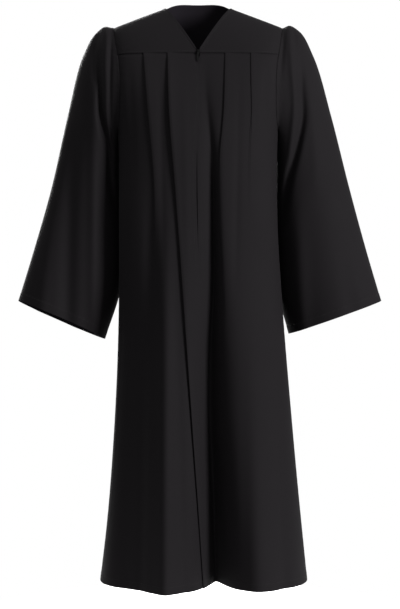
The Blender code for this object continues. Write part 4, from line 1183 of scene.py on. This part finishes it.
def zip_chain(settings):
    """Both tapes and the coil between them."""
    fabric = material_of("zip_tape", settings)
    for name, sign in (("zip_tape_left", -1), ("zip_tape_right", 1)):
        place_piece(tape_strip(f"{name}_cloth", sign, fabric), "zip_tape", name)
    teeth = coil("coil", material_of("zip_coil", settings))
    place_piece(teeth, "zip_coil", "zip_coil")


# The studio: the floor's disc, each lamp's name, place and side, and the camera
FLOOR_RADIUS, FLOOR_SIDES = 0.62, 96
LAMPS = (
    ("key", (3.9, -2.85, 0.6), 1.5),
    ("fill", (-0.6, -4.2, 1.2), 2.4),
    ("top", (-1.4, -0.4, 3.0), 1.6),
    ("back", (-1.2, 3.8, 1.2), 2.0),
)
CAMERA_PLACE = (0.0047, -3.5, -0.694)
CAMERA_LENS_MM, CAMERA_SENSOR_MM = 88.0, 36.0


def studio(settings):
    """A pale floor, a soft key light from the front right, faint fill, top and back lights, the camera."""
    scene = bpy.context.scene
    scene.view_settings.view_transform = "Standard"
    angle = np.arange(FLOOR_SIDES) * 2 * math.pi / FLOOR_SIDES
    ring = np.stack([np.cos(angle), np.sin(angle), np.zeros(FLOOR_SIDES)], axis=-1) * FLOOR_RADIUS
    floor_mesh = bpy.data.meshes.new("floor")
    floor_mesh.from_pydata((ring + (0, 0, settings.floor)).tolist(), [], [list(range(FLOOR_SIDES))])
    floor_mesh.materials.append(material_of("floor", settings))
    floor = bpy.data.objects.new("floor", floor_mesh)
    scene.collection.objects.link(floor)

    world = bpy.data.worlds.new("studio")
    world.use_nodes = True
    world.node_tree.nodes["Background"].inputs["Color"].default_value = linear("#ffffff")
    world.node_tree.nodes["Background"].inputs["Strength"].default_value = settings.surround
    scene.world = world

    middle = Vector((0.0, 0.0, -0.65))
    shares = {"key": 1.0, "fill": settings.fill, "top": settings.top, "back": settings.back}
    for name, place, size in LAMPS:
        light = bpy.data.lights.new(name, "AREA")
        light.size = size
        light.energy = settings.key * shares[name]
        lamp = bpy.data.objects.new(name, light)
        lamp.location = place
        lamp.rotation_euler = (middle - Vector(place)).to_track_quat("-Z", "Y").to_euler()
        scene.collection.objects.link(lamp)

    lens = bpy.data.cameras.new("camera")
    lens.lens = CAMERA_LENS_MM
    lens.sensor_width = CAMERA_SENSOR_MM
    camera = bpy.data.objects.new("camera", lens)
    camera.location = CAMERA_PLACE
    camera.rotation_euler = (math.radians(90), 0.0, 0.0)
    scene.collection.objects.link(camera)
    scene.camera = camera


class GownSettings(bpy.types.PropertyGroup):
    """Sizes that the pieces share."""

    cloth: bpy.props.FloatProperty(
        name="Cloth", description="Thickness of one layer of the cloth", default=0.7 * MM, unit="LENGTH")
    tuck: bpy.props.FloatProperty(
        name="Pleat tuck", description="How far each pleat laps over the cloth below", default=9.0 * MM,
        unit="LENGTH")
    hem: bpy.props.FloatProperty(
        name="Hem", description="Depth of the turned hem and cuffs", default=20.0 * MM, unit="LENGTH")
    placket: bpy.props.FloatProperty(
        name="Zip stitching", description="From each front's edge to the stitching beside the zip",
        default=8.0 * MM, unit="LENGTH")
    seam_tuck: bpy.props.FloatProperty(
        name="Seam tuck", description="How far the panels sink under the yoke", default=2.6 * MM,
        unit="LENGTH")
    yoke_lap: bpy.props.FloatProperty(
        name="Yoke lap", description="How far the yoke's lower edge laps over the panels", default=1.6 * MM,
        unit="LENGTH")
    neck_roll: bpy.props.FloatProperty(
        name="Neck roll", description="Height of the rolled neck edge", default=0.9 * MM, unit="LENGTH")
    pucker: bpy.props.FloatProperty(
        name="Puckers", description="Height of the ripples along the sewn seams", default=0.35 * MM,
        unit="LENGTH")
    stitch: bpy.props.FloatProperty(
        name="Stitch", description="Length of one stitch", default=3.2 * MM, unit="LENGTH")
    thread: bpy.props.FloatProperty(
        name="Thread", description="Thickness of the sewing thread", default=0.4 * MM, unit="LENGTH")
    weave: bpy.props.FloatProperty(
        name="Weave", description="Width of one rib of the twill, drawn coarser than the real 0.4 mm",
        default=1.5 * MM, unit="LENGTH")
    colour: bpy.props.FloatVectorProperty(
        name="Cloth colour", description="Colour of the cloth's face", default=linear("#060506"), size=4,
        min=0.0, max=1.0, subtype="COLOR")
    inside: bpy.props.FloatVectorProperty(
        name="Inside colour", description="Colour of the cloth's inner side", default=linear("#0a090b"),
        size=4, min=0.0, max=1.0, subtype="COLOR")
    floor: bpy.props.FloatProperty(
        name="Floor", description="Height of the floor below the shoulders", default=-1.46, unit="LENGTH")
    surround: bpy.props.FloatProperty(
        name="Surround", description="Strength of the white surround", default=1.0)
    key: bpy.props.FloatProperty(
        name="Key light", description="Power of the key light", default=1150.0, unit="POWER")
    fill: bpy.props.FloatProperty(
        name="Fill", description="Power of the fill light as a share of the key light", default=0.04,
        subtype="FACTOR")
    top: bpy.props.FloatProperty(
        name="Top light", description="Power of the light above as a share of the key light", default=0.10,
        subtype="FACTOR")
    back: bpy.props.FloatProperty(
        name="Back light", description="Power of the light behind the gown as a share of the key light",
        default=0.6, subtype="FACTOR")


class GOWN_OT_yoke(bpy.types.Operator):
    """Build the yoke with its seam and neck stitching"""

    bl_idname = "gown.yoke"
    bl_label = "Yoke"

    def execute(self, context):
        yoke_cloth(context.scene.gown)
        return {"FINISHED"}


class GOWN_OT_fronts(bpy.types.Operator):
    """Build both pleated fronts with their stitching"""

    bl_idname = "gown.fronts"
    bl_label = "Fronts"

    def execute(self, context):
        front_cloths(context.scene.gown)
        return {"FINISHED"}


class GOWN_OT_back(bpy.types.Operator):
    """Build the pleated back with its stitching"""

    bl_idname = "gown.back"
    bl_label = "Back"

    def execute(self, context):
        back_cloth(context.scene.gown)
        return {"FINISHED"}


class GOWN_OT_sleeves(bpy.types.Operator):
    """Build both bell sleeves with their stitching"""

    bl_idname = "gown.sleeves"
    bl_label = "Sleeves"

    def execute(self, context):
        sleeve_cloths(context.scene.gown)
        return {"FINISHED"}


class GOWN_OT_zip(bpy.types.Operator):
    """Build the zip's tapes and coil"""

    bl_idname = "gown.zip"
    bl_label = "Zip tapes and coil"

    def execute(self, context):
        zip_chain(context.scene.gown)
        return {"FINISHED"}


class GOWN_OT_slider(bpy.types.Operator):
    """Build the zip's slider and pull"""

    bl_idname = "gown.slider"
    bl_label = "Slider and pull"

    def execute(self, context):
        settings = context.scene.gown
        metal = material_of("zip_metal", settings)
        place_piece(slider(metal), "zip_metal", "zip_slider")
        place_piece(pull_tab(metal), "zip_metal", "zip_pull", body=PULL_BODY)
        return {"FINISHED"}


class GOWN_OT_studio(bpy.types.Operator):
    """Set the floor, lights, surround and camera"""

    bl_idname = "gown.studio"
    bl_label = "Studio"

    def execute(self, context):
        studio(context.scene.gown)
        return {"FINISHED"}


class GOWN_PT_panel(bpy.types.Panel):
    """The gown's steps in order"""

    bl_idname = "GOWN_PT_panel"
    bl_label = "Graduation Gown"
    bl_space_type = "VIEW_3D"
    bl_region_type = "UI"
    bl_category = "Gown"

    def draw(self, context):
        for operator in OPERATORS:
            self.layout.operator(operator.bl_idname)


OPERATORS = (GOWN_OT_yoke, GOWN_OT_fronts, GOWN_OT_back, GOWN_OT_sleeves, GOWN_OT_zip, GOWN_OT_slider,
             GOWN_OT_studio)
CLASSES = (GownSettings, *OPERATORS, GOWN_PT_panel)


def register():
    for cls in CLASSES:
        bpy.utils.register_class(cls)
    bpy.types.Scene.gown = bpy.props.PointerProperty(type=GownSettings)


def unregister():
    del bpy.types.Scene.gown
    for cls in reversed(CLASSES):
        bpy.utils.unregister_class(cls)


def main():
    """Registers the add-on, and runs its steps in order."""
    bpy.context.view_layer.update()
    register()
    bpy.ops.gown.yoke()
    bpy.ops.gown.fronts()
    bpy.ops.gown.back()
    bpy.ops.gown.sleeves()
    bpy.ops.gown.zip()
    bpy.ops.gown.slider()
    bpy.ops.gown.studio()


if __name__ == "__main__":
    main()
